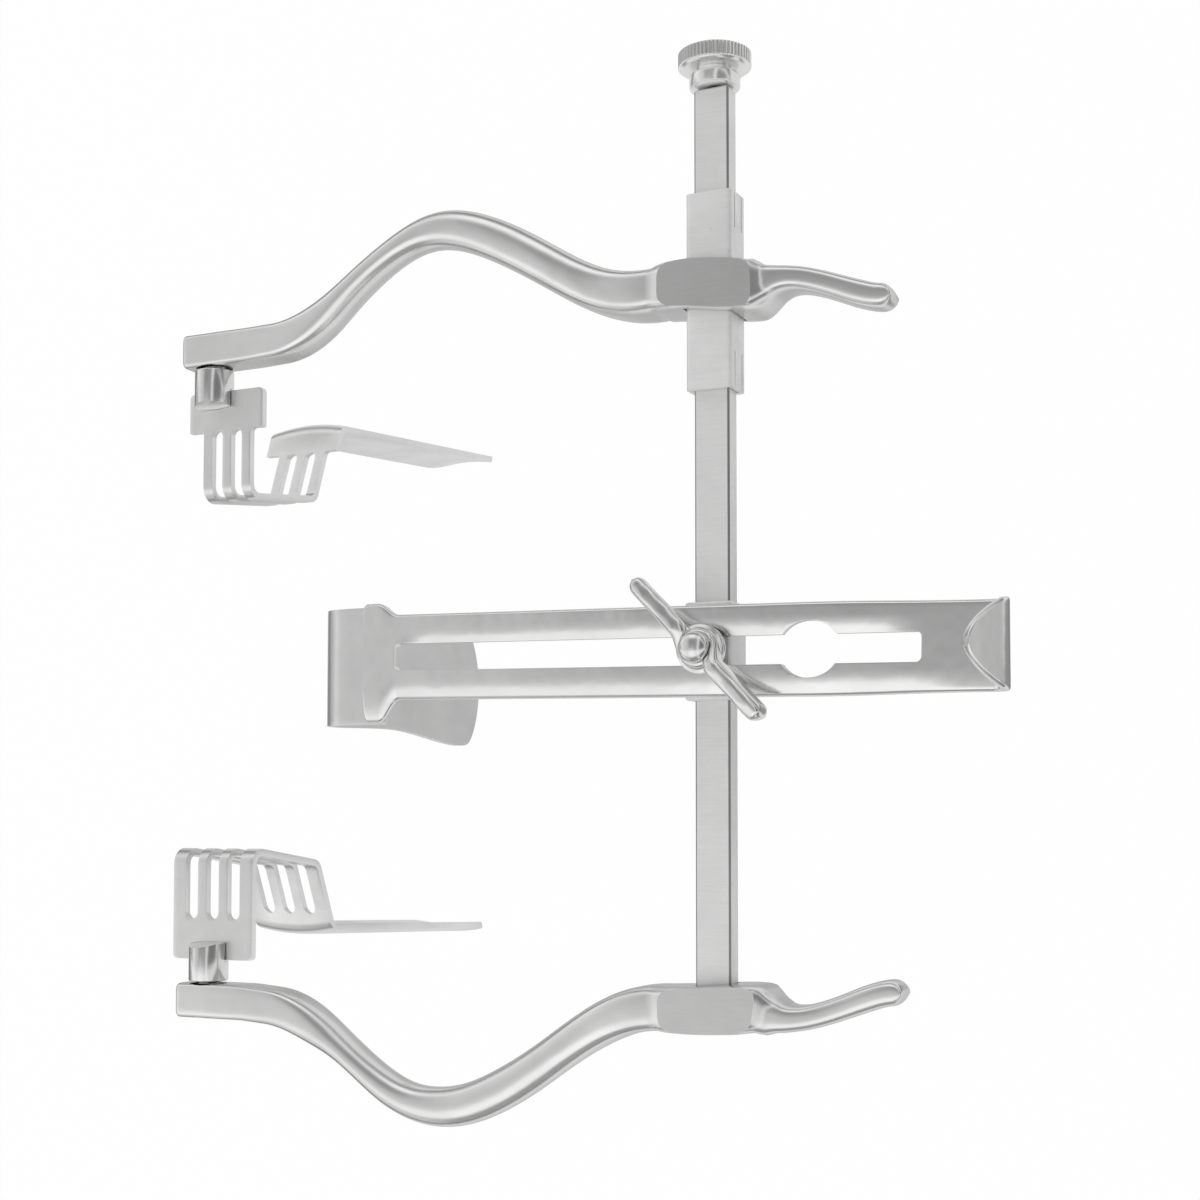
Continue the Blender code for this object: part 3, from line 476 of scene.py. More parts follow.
fixedForging = {"side": -1, "barSlot": ((-3.8, -6.6), (3.8, -1.8)),
                "hubY": 66.3, "lean": 0.8, "height": 9.0, "handleY": 66.92, "end": 36.0,
                # x, outward shift and added width where the hand-finished arm leaves the plain S
                "hand": [(-106, 0.0, 0.0), (-90, 1.1, 0.0), (-80, 1.1, -1.5), (-70, 1.2, -0.5), (-58.5, 0.4, 1.0),
                         (-47, 0.2, 1.2), (-35, 0.6, 0.8), (-24, 0.4, 0.4), (-11.5, 0.0, 0.0)]}
slidingForging = {"side": 1, "barSlot": ((-4.95, -8.25), (4.95, -0.15)),
                  "hubY": 68.8, "lean": 1.8, "height": 9.7, "handleY": 68.18, "end": 34.9,
                  "hand": [(-106, 0.0, 0.0), (-90, 0.5, 0.0), (-80, 1.2, -1.4), (-70, 0.9, -1.2), (-58.5, 0.4, 0.8),
                           (-47, -0.6, 1.4), (-35, -0.9, 1.3), (-24, -0.9, 0.9), (-11.5, 0.0, 0.0)]}


def hubRows(size, own):
    rows = [(x, own["hubY"] + own["lean"] * lean, front, back, own["height"] * share, square)
            for x, lean, front, back, share, square in size["hub"]]
    return rows + [(share * own["end"], own["handleY"] + shift, front, back, width, square)
                   for share, shift, front, back, width, square in size["handle"]]


def forgingSection(size, own, rows, x):
    # the middle line, front, back, width and squareness at x
    shift, widen = through(own["hand"], x)
    if x < size["crestX"]:
        rise = ease((x - size["riseX"]) / (size["crestX"] - size["riseX"]))
        y = mix(size["tipY"], size["crestY"], rise)
        width = mix(size["tipWidth"], size["armWidth"], rise)
        depth = mix(size["tipDepth"], size["armDepth"], rise)
        square = mix(size["tipSquareness"], size["armSquareness"],
                     ease((x - size["riseX"] + size["squareLead"]) / size["squareRun"]))
        return y + shift, 0.0, -depth, width + widen, square
    if x < size["fallX"]:
        fall = ease((x - size["crestX"]) / (size["fallX"] - size["crestX"]))
        root = ease((x - size["fallX"] + size["rootRun"]) / size["rootRun"])
        front = mix(0.0, size["rootFront"], ease((x - size["fallX"] + size["frontRun"]) / size["frontRun"]))
        depth = mix(size["armDepth"], size["rootDepth"], root)
        y = mix(size["crestY"], own["hubY"] + own["lean"] / 2, fall)
        return (y + shift, front, front - depth, mix(size["armWidth"], size["rootWidth"], root) + widen,
                mix(size["armSquareness"], size["rootSquareness"], root))
    return through(rows, x)


def forgingStations(size, own):
    # places along X with what each section loses in width and in depth
    endX, radius, rim = own["end"], size["endRadius"], size["tipRim"]
    stations = []
    for k in range(5):  # rounded rim of the tip's end face
        angle = pi / 2 * k / 4
        loss = 2 * rim * (1 - sin(angle))
        stations.append((size["tipX"] + rim * (1 - cos(angle)), loss, loss))
    first, last = size["tipX"] + 1.6, endX - radius
    count = int((last - first) / size["stationStep"])
    stations += [(mix(first, last, k / count), 0.0, 0.0) for k in range(count)]
    width = size["handle"][-1][4]
    for k in range(9):  # the handle's end is round from the front and nearly flat from the side
        angle = pi / 2 * k / 8
        loss = width * (1 - max(cos(angle), 0.22))
        stations.append((endX - radius + radius * sin(angle), loss, 0.8 * (k / 8) ** 3))
    return stations


def forgingShape(size, own):
    rows = hubRows(size, own)
    side = own["side"]
    bm = bmesh.new()
    loops = []
    for x, widthLoss, depthLoss in forgingStations(size, own):
        y, front, back, width, square = forgingSection(size, own, rows, x)
        reach = mix(4.0, 0.4, ease((abs(x - 1.0) - 10.0) / 6.0))  # sections stand square beside the hub
        before = forgingSection(size, own, rows, x - reach)[0]
        after = forgingSection(size, own, rows, x + reach)[0]
        run = hypot(2 * reach, after - before)
        across = Vector((-(after - before) / run, 2 * reach / run, 0))
        width, depth = max(width - widthLoss, 0.4), max(front - back - depthLoss, 0.8)
        middle = Vector((x, y, (front + back) / 2))
        ring = roundedRing(width, depth, square, size["ringPoints"])
        loop = []
        for a, b in ring:
            point = middle + across * a + Vector((0, 0, b))
            loop.append(bm.verts.new((point.x * mm, side * point.y * mm, point.z * mm)))
        loops.append(loop)
    skin(bm, loops)
    # grind the hub's front flat
    flat = bmesh.ops.bisect_plane(bm, geom=bm.verts[:] + bm.edges[:] + bm.faces[:], dist=0.0000005,
                                  plane_co=(0, 0, size["hubFace"] * mm), plane_no=(0, 0, 1), clear_outer=True)
    rim = [e for e in flat["geom_cut"] if isinstance(e, bmesh.types.BMEdge)]
    face = bmesh.ops.contextual_create(bm, geom=rim)["faces"]
    for part in face:
        part.material_index = 1
    return bm


# the swivel pin's hole through the tip, and the recess for its rivet
tipBore = {"x": -116.8, "z": -4.1, "inner": 66.1, "outer": 73.5, "diameter": 5.3, "recess": 6.9, "recessDepth": 1.45}


def forgedArm(name, own):
    obj = toObject(forgingShape(forging, own), name, "satinForging", "groundFace")
    side, hubY = own["side"], own["hubY"]
    low, high = own["barSlot"]
    reach = forging["slotReach"]
    cutWith(obj, boxShape((low[0], side * hubY - reach, low[1]), (high[0], side * hubY + reach, high[1])))
    x, z, past = tipBore["x"], tipBore["z"], tipBore["outer"] + 1
    for diameter, start in ((tipBore["diameter"], tipBore["inner"] - 1),
                            (tipBore["recess"], tipBore["outer"] - tipBore["recessDepth"])):
        cutWith(obj, rodShape(diameter, (x, side * start, z), (x, side * past, z)))
    return bake(obj)


place(forgedArm("lowerForging", fixedForging), "frame", "satin_steel", "fixed_arm", sharp=38.0)
place(forgedArm("upperForging", slidingForging), "slider", "satin_steel", "sliding_arm", sharp=38.0)
print("forged arms made")

# cross bar and end knob

bar = {"width": 7.0, "front": -2.1, "back": -6.3, "foot": -70.5, "head": 107.2, "edge": 0.35,
       "boreDiameter": 3.0, "boreDepth": 10.0}


def crossBar(size):
    half = size["width"] / 2
    bm = boxShape((-half, size["foot"], size["back"]), (half, size["head"], size["front"]))
    roundEdges(bm, size["edge"], 1)
    bm.normal_update()
    for face in bm.faces:  # the bar's four long ground edges, coloured dark as a painted reflection of dim surroundings
        if abs(face.normal.x) > 0.5 and abs(face.normal.z) > 0.5:
            face.material_index = 1
    obj = toObject(bm, "crossBar", "matteBar", "paintedDarkEdge")
    z = (size["front"] + size["back"]) / 2
    cutWith(obj, rodShape(size["boreDiameter"], (0, size["head"] - size["boreDepth"], z), (0, size["head"] + 1, z), 48))
    return obj


place(crossBar(bar), "frame", "brushed_steel", "cross_bar")

knob = {"start": 107.5, "z": -4.2, "screw": (2.4, 9.0), "collar": (9.7, 2.6), "neck": (7.2, 1.0),
        "head": (13.3, 3.6), "ridges": 56, "ridgeRadius": 0.34, "edge": 0.35}


def endKnob(size):
    edge = size["edge"]
    collarR, neckR, headR = (size[n][0] / 2 for n in ("collar", "neck", "head"))
    collar = size["collar"][1]
    neck = collar + size["neck"][1]
    top = neck + size["head"][1]
    screw = size["screw"][0] / 2
    profile = [(0, top + 0.35), (headR * 0.4, top + 0.28), (headR - 1.2, top), (headR - 0.5, top - 0.12),
               (headR - 0.1, top - 0.45), (headR, top - 0.75), (headR, neck + 0.7), (headR - 0.12, neck + 0.4),
               (headR - 0.5, neck + 0.05), (headR - 1.0, neck), (neckR + 0.1, neck), (neckR, neck - 0.12),
               (neckR, collar + 0.15), (neckR + 0.15, collar), (collarR - edge, collar),
               (collarR - edge * 0.3, collar - edge * 0.3), (collarR, collar - edge), (collarR, edge * 1.2),
               (collarR - edge * 0.3, edge * 0.35), (collarR - edge, 0.0), (3.3, 0.0), (screw + 0.02, 0.0),
               (screw, -0.05), (screw, -size["screw"][1] + 0.4), (screw - 0.4, -size["screw"][1]),
               (0, -size["screw"][1])]
    bm = turnedShape(profile, 96)
    # painted shade: the screw, seen in the thin gap between the collar and the bar's end, is coloured near black
    for face in bm.faces:
        height = face.calc_center_median().z / mm
        if height < 0.02 and hypot(*face.calc_center_median().xy) / mm < 2.0:
            face.material_index = 1
    head = toObject(bm, "endKnob", "turnedKnob", "paintedGapShade")
    ridges = growTree(ridgeRing, "knurl", {"Count": size["ridges"], "Ring Radius": headR * mm,
                                           "Ridge Radius": size["ridgeRadius"] * mm,
                                           "Height": (top - neck - 0.9) * mm})
    ridges.data.transform(Matrix.Translation((0, 0, (top + neck) / 2 * mm)))
    softenEdges(ridges, 0.12, 2, 50.0)
    bake(ridges)
    for obj in (head, ridges):
        obj.data.transform(seatAt((0, size["start"], size["z"]), (0, 1, 0)))
    return head, ridges


knobHead, knurl = endKnob(knob)
place(knobHead, "knob", "polished_steel", "end_knob")
place(knurl, "knob", "polished_steel")
print("bar and knob made")

# sleeve on the bar, slit at both ends of its side walls

sleeve = {"x": 4.65, "front": -0.45, "back": -7.95, "low": 49.3, "high": 86.7, "corner": 1.0,
          "bore": (3.75, -1.85, -6.55), "slitLength": 7.0, "slitWidth": 0.45, "slitPitch": 3.6}


def slideSleeve(size):
    bm = boxShape((-size["x"], size["low"], size["back"]), (size["x"], size["high"], size["front"]))
    roundEdges(bm, size["corner"], 6, 1)
    obj = toObject(bm, "slideSleeve", "matteSleeve")
    half, front, back = size["bore"]
    cutWith(obj, boxShape((-half, size["low"] - 1, back), (half, size["high"] + 1, front)))
    # each row of slits is made along X and turned to run along Z, through both side walls
    turn = Matrix.Rotation(radians(90), 4, "Y")
    for end in ("low", "high"):
        slits = slotCutter(2, size["slitPitch"], size["slitWidth"], size["slitLength"] * 2, 20.0, 0.05,
                           (0.0, 0.0), -10.0)
        middle = Vector((0, size[end], (size["front"] + size["back"]) / 2)) * mm
        slits.data.transform(Matrix.Translation(middle) @ turn)
        cutWith(obj, slits)
    softenEdges(obj, 0.12, 2, 50.0)
    return obj


place(slideSleeve(sleeve), "slider", "brushed_steel", "slide_sleeve")
print("sleeve made")

# swivel pins, riveted in the arms' tips, their free ends cut back to lie on the blades

pin = {"x": -116.8, "z": -4.1, "shoulder": 65.7, "outer": 73.4, "free": 57.5, "diameter": 8.4,
       "journal": 4.8, "rivet": (6.4, 1.2), "edge": 0.25, "onBlade": 61.6}


def swivelPin(name, size, side, turnX, turnZ):
    radius = size["diameter"] / 2
    journal = size["journal"] / 2
    rivet = size["rivet"][0] / 2
    edge = size["edge"]
    top = size["outer"] - size["shoulder"]
    end = size["free"] - size["shoulder"]
    profile = [(0, top), (rivet * 0.6, top - 0.03), (rivet - edge, top - 0.12), (rivet, top - 0.12 - edge),
               (rivet, top - size["rivet"][1]), (journal, top - size["rivet"][1]), (journal, 0.02),
               (journal + 0.1, 0.0), (radius - edge, 0.0), (radius - edge * 0.3, -edge * 0.3), (radius, -edge),
               (radius, end + edge), (radius - edge, end), (0, end)]
    bm = turnedShape(profile, 80)
    # painted shade: the pin's shoulder face, in the thin gap against the arm's tip, is coloured near black
    for face in bm.faces:
        middle = face.calc_center_median() / mm
        if -0.02 < middle.z < 3.0:
            face.material_index = 1
    seat = seatAt((size["x"], side * size["shoulder"], size["z"]), (0, side, 0))
    bmesh.ops.transform(bm, matrix=seat, verts=bm.verts)
    obj = toObject(bm, name, "polishedNut", "paintedGapShade")
    low, high = sorted((side * size["onBlade"], side * (size["free"] - 2)))
    cutWith(obj, boxShape((size["x"] - 8, low, size["z"] - 10), (size["x"] + 8, high, size["z"])))
    # a filed facet across the free end's front edge
    block = boxShape((-12, -12, 0), (12, 12, 12))
    tilt = Matrix.Rotation(side * radians(turnZ), 4, "Z") @ Matrix.Rotation(side * radians(turnX), 4, "X")
    where = Matrix.Translation(Vector((size["x"], side * size["free"], size["z"] + 0.4)) * mm)
    bmesh.ops.transform(block, matrix=where @ tilt, verts=block.verts)
    cutWith(obj, block)
    softenEdges(obj, 0.15, 2, 30.0)
    return obj


place(swivelPin("upperSwivelPin", pin, 1, 77.0, 6.0), "upper_blade", "polished_steel", "upper_blade_pin")
place(swivelPin("lowerSwivelPin", pin, -1, 74.0, -4.0), "lower_blade", "polished_steel", "lower_blade_pin")
print("swivel pins made")

# bent sheet blades


def filletedPath(corners, radii, steps):
    # straight runs in the plane between corners, joined by arcs
    points = [Vector(corners[0])]
    for before, corner, after, radius in zip(corners, corners[1:], corners[2:], radii):
        corner = Vector(corner)
        back = (Vector(before) - corner).normalized()
        ahead = (Vector(after) - corner).normalized()
        turn = pi - back.angle(ahead)
        reach = radius * tan(turn / 2)
        middle = corner + (back + ahead).normalized() * hypot(radius, reach)
        start, end = corner + back * reach - middle, corner + ahead * reach - middle
        for step in range(steps + 1):
            share = step / steps
            points.append(middle + (start * sin((1 - share) * turn) + end * sin(share * turn)) / sin(turn))
    points.append(Vector(corners[-1]))
    return points


def sampled(points, longest):
    # the same path with its long runs divided
    out = [points[0]]
    for first, second in zip(points, points[1:]):
        pieces = max(1, int((second - first).length / longest))
        out += [first.lerp(second, (step + 1) / pieces) for step in range(pieces)]
    return out


def arcLengths(points):
    lengths = [0.0]
    for first, second in zip(points, points[1:]):
        lengths.append(lengths[-1] + (second - first).length)
    return lengths


def cornerHalf(distance, radius, full):
    inset = max(radius - distance, 0.0)
    return full - radius + max(radius * radius - inset * inset, 0.0) ** 0.5


def sheetShape(path, across, halves, crowns, columns):
    bm = bmesh.new()
    rows = []
    across = Vector(across)
    widest = max(halves)
    for index, point in enumerate(path):
        before, after = path[max(index - 1, 0)], path[min(index + 1, len(path) - 1)]
        normal = (after - before).normalized().cross(across)
        row = []
        for column in range(columns + 1):
            share = 2 * column / columns - 1
            away = share * halves[index]
            spot = point + across * away + normal * (crowns[index] * (1 - (away / widest) ** 2))
            row.append(bm.verts.new(spot * mm))
        rows.append(row)
    for first, second in zip(rows, rows[1:]):
        for column in range(columns):
            bm.faces.new((first[column], first[column + 1], second[column + 1], second[column]))
    return bm


def thicken(obj, thickness):
    step = obj.modifiers.new("thickness", "SOLIDIFY")
    step.thickness = thickness * mm
    step.offset = 0.0
    step.use_even_offset = True


lateral = {"thickness": 1.5, "plateZ": -5.15, "headY": 61.3, "turnY": 38.0, "backTurn": (41.2, -29.0),
           "tongueZ": -35.2, "bend": (2.6, 2.6, 2.6), "endCorner": 5.0, "crown": 1.2, "plateCorner": 1.0,
           "slotEnd": 52.8, "pinX": -116.8, "edge": 0.28}
upperBlade = {"side": 1, "width": 19.2, "offset": 2.9, "tongueY": 58.2, "tongueLength": 75.0, "splay": 4.6,
              "tines": 3, "tineWidth": 2.25, "pitch": 5.05, "shift": 0.3, "flank": True}
lowerBlade = {"side": -1, "width": 20.7, "offset": 0.6, "tongueY": 55.7, "tongueLength": 73.0, "splay": 2.6,
              "tines": 4, "tineWidth": 2.3, "pitch": 5.5, "shift": 0.0, "flank": False}


def lateralBlade(name, size, own):
    side = own["side"]
    middleX = size["pinX"] + own["offset"]
    turn = radians(own["splay"])
    foot = (0, own["tongueY"] + own["tongueLength"] * sin(turn), size["tongueZ"] - own["tongueLength"] * cos(turn))
    corners = [(0, size["headY"], size["plateZ"]), (0, size["turnY"], size["plateZ"]), (0, *size["backTurn"]),
               (0, own["tongueY"], size["tongueZ"]), foot]
    bends = filletedPath(corners, size["bend"], 8)
    path = sampled(bends, 2.0)
    path = path[:1] + [path[0].lerp(path[1], s) for s in (0.04, 0.12, 0.25, 0.45)] + path[1:]
    tail = path[-2]
    path = path[:-1] + [tail.lerp(path[-1], s) for s in (0.3, 0.6, 0.8, 0.92, 0.98, 1.0)]
    lengths = arcLengths(path)
    total = lengths[-1]
    rootLength = lengths[min(range(len(path)), key=lambda k: (path[k] - bends[-2]).length)]
    halves, crowns = [], []
    for length in lengths:
        half = own["width"] / 2
        half = min(cornerHalf(length, size["plateCorner"], half), cornerHalf(total - length, size["endCorner"], half))
        halves.append(half)
        crowns.append(-side * size["crown"] * ease((length - rootLength + 5.0) / 6.0))
    path = [Vector((middleX, side * point.y, point.z)) for point in path]
    obj = toObject(sheetShape(path, (1, 0, 0), halves, crowns, 20), name, "satinBlade")
    thicken(obj, size["thickness"])
    slotWidth = own["pitch"] - own["tineWidth"]
    top, bottom = size["plateZ"] + 3, size["tongueZ"]
    length = size["slotEnd"] - (size["turnY"] - 10)
    middle = (middleX + own["shift"], side * (size["slotEnd"] - length / 2))
    cutWith(obj, slotCutter(own["tines"] - 1, own["pitch"], slotWidth, length, top - bottom, slotWidth * 0.49,
                            middle, bottom))
    if own["flank"]:
        spread = (own["tines"] - 1) * own["pitch"] + own["tineWidth"]
        flankWidth = 8.0
        cutWith(obj, slotCutter(2, spread + flankWidth, flankWidth, length, top - bottom, 0.7, middle, bottom))
    softenEdges(obj, size["edge"], 3, 38.0)
    return obj


place(lateralBlade("upperForkedBlade", lateral, upperBlade), "upper_blade", "satin_steel", "upper_lateral_blade")
place(lateralBlade("lowerForkedBlade", lateral, lowerBlade), "lower_blade", "satin_steel", "lower_lateral_blade")
print("lateral blades made")

# carrier, stud, washer and wing nut that clamp the centre blade

carrier = {"x": 4.65, "half": 9.2, "back": -7.95, "front": 0.15, "edge": 0.6, "bore": (3.75, -1.85, -6.55),
           "hole": 4.8}


def bladeCarrier(size):
    bm = boxShape((-size["x"], -size["half"], size["back"]), (size["x"], size["half"], size["front"]))
    roundEdges(bm, size["edge"], 4)
    obj = toObject(bm, "bladeCarrier", "matteBar")
    half, front, back = size["bore"]
    reach = size["half"] + 2
    cutWith(obj, boxShape((-half, -reach, back), (half, reach, front)))
    cutWith(obj, rodShape(size["hole"], (0, 0, -3), (0, 0, 2)))
    return obj


place(bladeCarrier(carrier), "carrier", "brushed_steel", "blade_carrier")

stud = {"radius": 2.1, "foot": -1.25, "top": 9.2, "domeRadius": 2.95, "domeFoot": 6.35, "domeWall": 1.0,
        "domeEdge": 0.2}


def clampStud(size):
    # its staked end is a dome over the nut's hub
    radius, dome, foot, edge = size["radius"], size["domeRadius"], size["domeFoot"], size["domeEdge"]
    start = foot + size["domeWall"]
    profile = [(dome * sin(angle), start + (size["top"] - start) * cos(angle))
               for angle in (pi / 2 * k / 12 for k in range(13))]
    profile += [(dome, foot + edge), (dome - edge, foot), (radius, foot), (radius, size["foot"]), (0, size["foot"])]
    return toObject(turnedShape(profile, 64), "clampStud", "polishedNut")


place(clampStud(stud), "carrier", "polished_steel", "clamp_stud")

washer = {"inner": 2.4, "outer": 4.6, "back": 2.55, "top": 3.25, "edge": 0.15}


def clampWasher(size):
    edge = size["edge"]
    profile = [(size["inner"], size["top"]), (size["outer"] - edge, size["top"]), (size["outer"], size["top"] - edge),
               (size["outer"], size["back"] + edge), (size["outer"] - edge, size["back"]),
               (size["inner"], size["back"]), (size["inner"], size["top"])]
    return toObject(turnedShape(profile), "clampWasher", "polishedNut")


place(clampWasher(washer), "swivel_washer", "polished_steel", "clamp_washer")

nut = {"bore": 2.25, "hub": 3.7, "flange": 4.6, "back": 3.55, "hubHeight": 2.6, "height": 4.4, "flangeHeight": 1.0,
       "span": 18.2, "angle": 134.0, "bend": 3.1, "bendLength": 5.4, "rootThickness": 1.7, "thickness": 3.5,
       "rootTall": 2.6, "tall": 4.3, "squareness": 2.9, "tilt": 10.0, "wave": 0.18,
       "waveLength": 8.5, "domeSeat": 3.15, "tipRound": 2.0, "tipTallRound": 1.2, "rings": 46, "ringPoints": 36}


def wingShape(size, turn):
    # a ridge starts beside the bore, swings out in an S and runs on as a bar with a hand-polished top
    bm = bmesh.new()
    loops = []
    steps, back = size["rings"], size["back"]
    for step in range(steps + 1):
        share = 1 - (1 - step / steps) ** 1.25  # closer rings near the tip
        x = mix(size["rootThickness"] / 2, size["span"], share)
        grown = ease(x / size["bendLength"])
        near = min(1.0, (size["span"] - x) / size["tipRound"])
        close = max((1 - (1 - near) ** 2) ** 0.5, 0.16)
        nearTall = min(1.0, (size["span"] - x) / size["tipTallRound"])
        closeTall = max((1 - (1 - nearTall) ** 2) ** 0.5, 0.55)
        thick = mix(size["rootThickness"], size["thickness"], grown)
        tall = mix(size["rootTall"], size["tall"], grown)
        wave = size["wave"] * (1 - cos(2 * pi * (x - size["bendLength"]) / size["waveLength"])) * grown
        front = mix(back + size["hubHeight"], back + size["height"], grown) - wave
        slope = -size["bend"] * pi / 2 / size["bendLength"] * sin(pi * min(x / size["bendLength"], 1.0))
        run = hypot(1.0, slope)
        across = Vector((-slope / run, 1 / run, 0))
        middle = Vector((x, size["bend"] * (1 - grown), front - tall / 2))
        lean = radians(size["tilt"]) * grown
        loop = []
        for a, b in roundedRing(thick * close, tall * closeTall, size["squareness"], size["ringPoints"]):
            spot = middle + across * (a * cos(lean) - b * sin(lean)) + Vector((0, 0, a * sin(lean) + b * cos(lean)))
            loop.append(bm.verts.new(spot * mm))
        loops.append(loop)
    skin(bm, loops)
    bmesh.ops.rotate(bm, cent=(0, 0, 0), matrix=Matrix.Rotation(radians(turn), 3, "Z"), verts=bm.verts)
    return bm


def wingNut(size):
    back, top = size["back"], size["back"] + size["hubHeight"]
    flange, hub, bore = size["flange"], size["hub"], size["bore"]
    seat = back + size["flangeHeight"]
    profile = [(bore, top - 0.15), (bore + 0.15, top), (hub - 0.9, top), (hub - 0.45, top - 0.1),
               (hub - 0.15, top - 0.35), (hub, top - 0.7), (hub + 0.05, seat + 0.5), (hub + 0.25, seat + 0.15),
               (flange - 0.3, seat), (flange - 0.08, seat - 0.1), (flange, seat - 0.35), (flange, back + 0.15),
               (flange - 0.15, back), (bore, back), (bore, top - 0.15)]
    obj = toObject(turnedShape(profile), "wingNut", "polishedNut")
    for turn in (size["angle"], size["angle"] + 180.0):
        wing = toObject(wingShape(size, turn), "wing")
        cutWith(wing, rodShape(2 * bore + 0.3, (0, 0, back - 5), (0, 0, back + 9), 72))
        cutWith(wing, rodShape(2 * size["domeSeat"], (0, 0, top), (0, 0, back + 9), 72))
        cutWith(obj, bake(wing), "UNION")
    return obj


place(wingNut(nut), "nut", "polished_steel", "wing_nut")
print("clamp made")

# centre blade: slotted shank with a curled lip, and the deep tongue brazed under its head

shank = {"back": 0.45, "thickness": 1.8, "left": -74.2, "headLength": 3.2, "headWidth": 24.0, "headY": 0.2,
         "fillet": 4.8, "width": 17.1, "endWidth": 16.0, "turn": -1.2, "shift": -0.2, "right": 56.8,
         "lipRadius": 2.6, "lipTurn": 128.0, "lipReach": 7.2, "lipTip": 1.6, "slot": (-66.8, 41.0, 5.4, 1.0),
         "keyhole": (20.2, 11.9, 10.4), "edge": 0.70, "slotEdge": 0.35, "columns": 36,
         "upperCrown": 0.10, "upperStart": 0.62, "slotRoll": 0.60, "rollStart": 0.32, "rollRun": 0.40,
         "lowerCrown": 0.85, "lowerStart": 0.45}


def shankRows(size):
    # path point, half width, and the middle line's own y
    z = size["back"] + size["thickness"] / 2
    half, endHalf, headHalf = size["width"] / 2, size["endWidth"] / 2, size["headWidth"] / 2
    slope = tan(radians(size["turn"]))
    left, neck = size["left"], size["left"] + size["headLength"]
    rows = []
    for k in range(5):
        angle = pi / 2 * k / 4
        rows.append((Vector((left + 0.8 * (1 - cos(angle)), size["headY"], z)), headHalf - 0.8 * (1 - sin(angle))))
    bendX = size["right"] - size["lipRadius"] - size["thickness"] / 2
    xs = [mix(left + 1.2, neck, k / 3) for k in range(4)]
    xs += [mix(neck, neck + size["fillet"], (k + 1) / 18) for k in range(18)]
    xs += [mix(neck + size["fillet"], bendX, (k + 1) / 70) for k in range(70)]
    for x in xs:
        line = size["shift"] + slope * x
        share = ease((x - neck) / size["fillet"])
        body = mix(half, endHalf, ease((x - 20) / (bendX - 20)))
        rows.append((Vector((x, mix(size["headY"], line, share), z)), mix(headHalf, body, share)))
    turn = radians(size["lipTurn"])
    curl = []
    for k in range(1, 19):
        angle = turn * k / 18
        curl.append((bendX + size["lipRadius"] * sin(angle), z + size["lipRadius"] * (1 - cos(angle))))
    endX, endZ = curl[-1]
    for share in (0.1, 0.2, 0.3, 0.4, 0.5, 0.6, 0.7, 0.78, 0.85, 0.9, 0.94, 0.97, 0.99, 1.0):
        reach = size["lipReach"] * share
        curl.append((endX + reach * cos(turn), endZ + reach * sin(turn)))
    crest, apex = max(x for x, height in curl), curl[-1][0]
    y = size["shift"] + slope * bendX
    for index, (x, height) in enumerate(curl):
        share = max((x - apex) / (crest - apex), 0.0) if index > 10 else 1.0
        rows.append((Vector((x, y, height)), max(size["lipTip"] / 2, endHalf * share ** 0.5)))
    return rows


def frontLoss(size, share, flatness, x):
    # how far the front lies below flat: a soft crown on each strip, and a roll down to the slot on the upper one
    if share > 0:
        low, high = size["slot"][:2]
        beside = ease((x - low) / 8) * ease((high - x) / 8)
        roll = max(1 - max(share - size["rollStart"], 0.0) / size["rollRun"], 0.0) ** 2 * beside
        crown = max((share - size["upperStart"]) / (1 - size["upperStart"]), 0.0) ** 2
        return (size["upperCrown"] * crown + size["slotRoll"] * roll) * flatness
    fall = max(-share - size["lowerStart"], 0.0) / (1 - size["lowerStart"])
    return size["lowerCrown"] * fall ** 2 * flatness


def edgeShares(half, edge, columns):
    # places across the sheet from edge to edge, close together on its rounded rims
    rim = [edge * (1 - cos(pi / 2 * k / 6)) for k in range(6)]
    inner = half - edge
    spots = [-half + step for step in rim] + [mix(-inner, inner, k / columns) for k in range(columns + 1)]
    spots += [half - step for step in rim[::-1]]
    return [spot / half for spot in spots]


def shankShape(size):
    rows = shankRows(size)
    bm = bmesh.new()
    loops = []
    for index, (point, half) in enumerate(rows):
        before, after = rows[max(index - 1, 0)][0], rows[min(index + 1, len(rows) - 1)][0]
        ahead = Vector((after.x - before.x, 0, after.z - before.z)).normalized()
        normal = ahead.cross(Vector((0, 1, 0)))
        flatness = 1 - 0.7 * ease((point.x - 38) / 12) if index < len(rows) - 32 else 0.3
        front, rear = [], []
        edge = min(size["edge"], half * 0.6)
        for share in edgeShares(half, edge, size["columns"]):
            spot = point + Vector((0, share * half, 0))
            within = min(half * (1 - abs(share)), edge)
            rim = edge - max(edge * edge - (edge - within) ** 2, 0.0) ** 0.5
            loss = min(frontLoss(size, share, flatness, point.x) + rim, size["thickness"] - rim * 0.5 - 0.1)
            front.append(bm.verts.new((spot + normal * (size["thickness"] / 2 - loss)) * mm))
            rear.append(bm.verts.new((spot - normal * (size["thickness"] / 2 - rim * 0.5)) * mm))
        loops.append(front + rear[::-1])
    skin(bm, loops)
    return bm


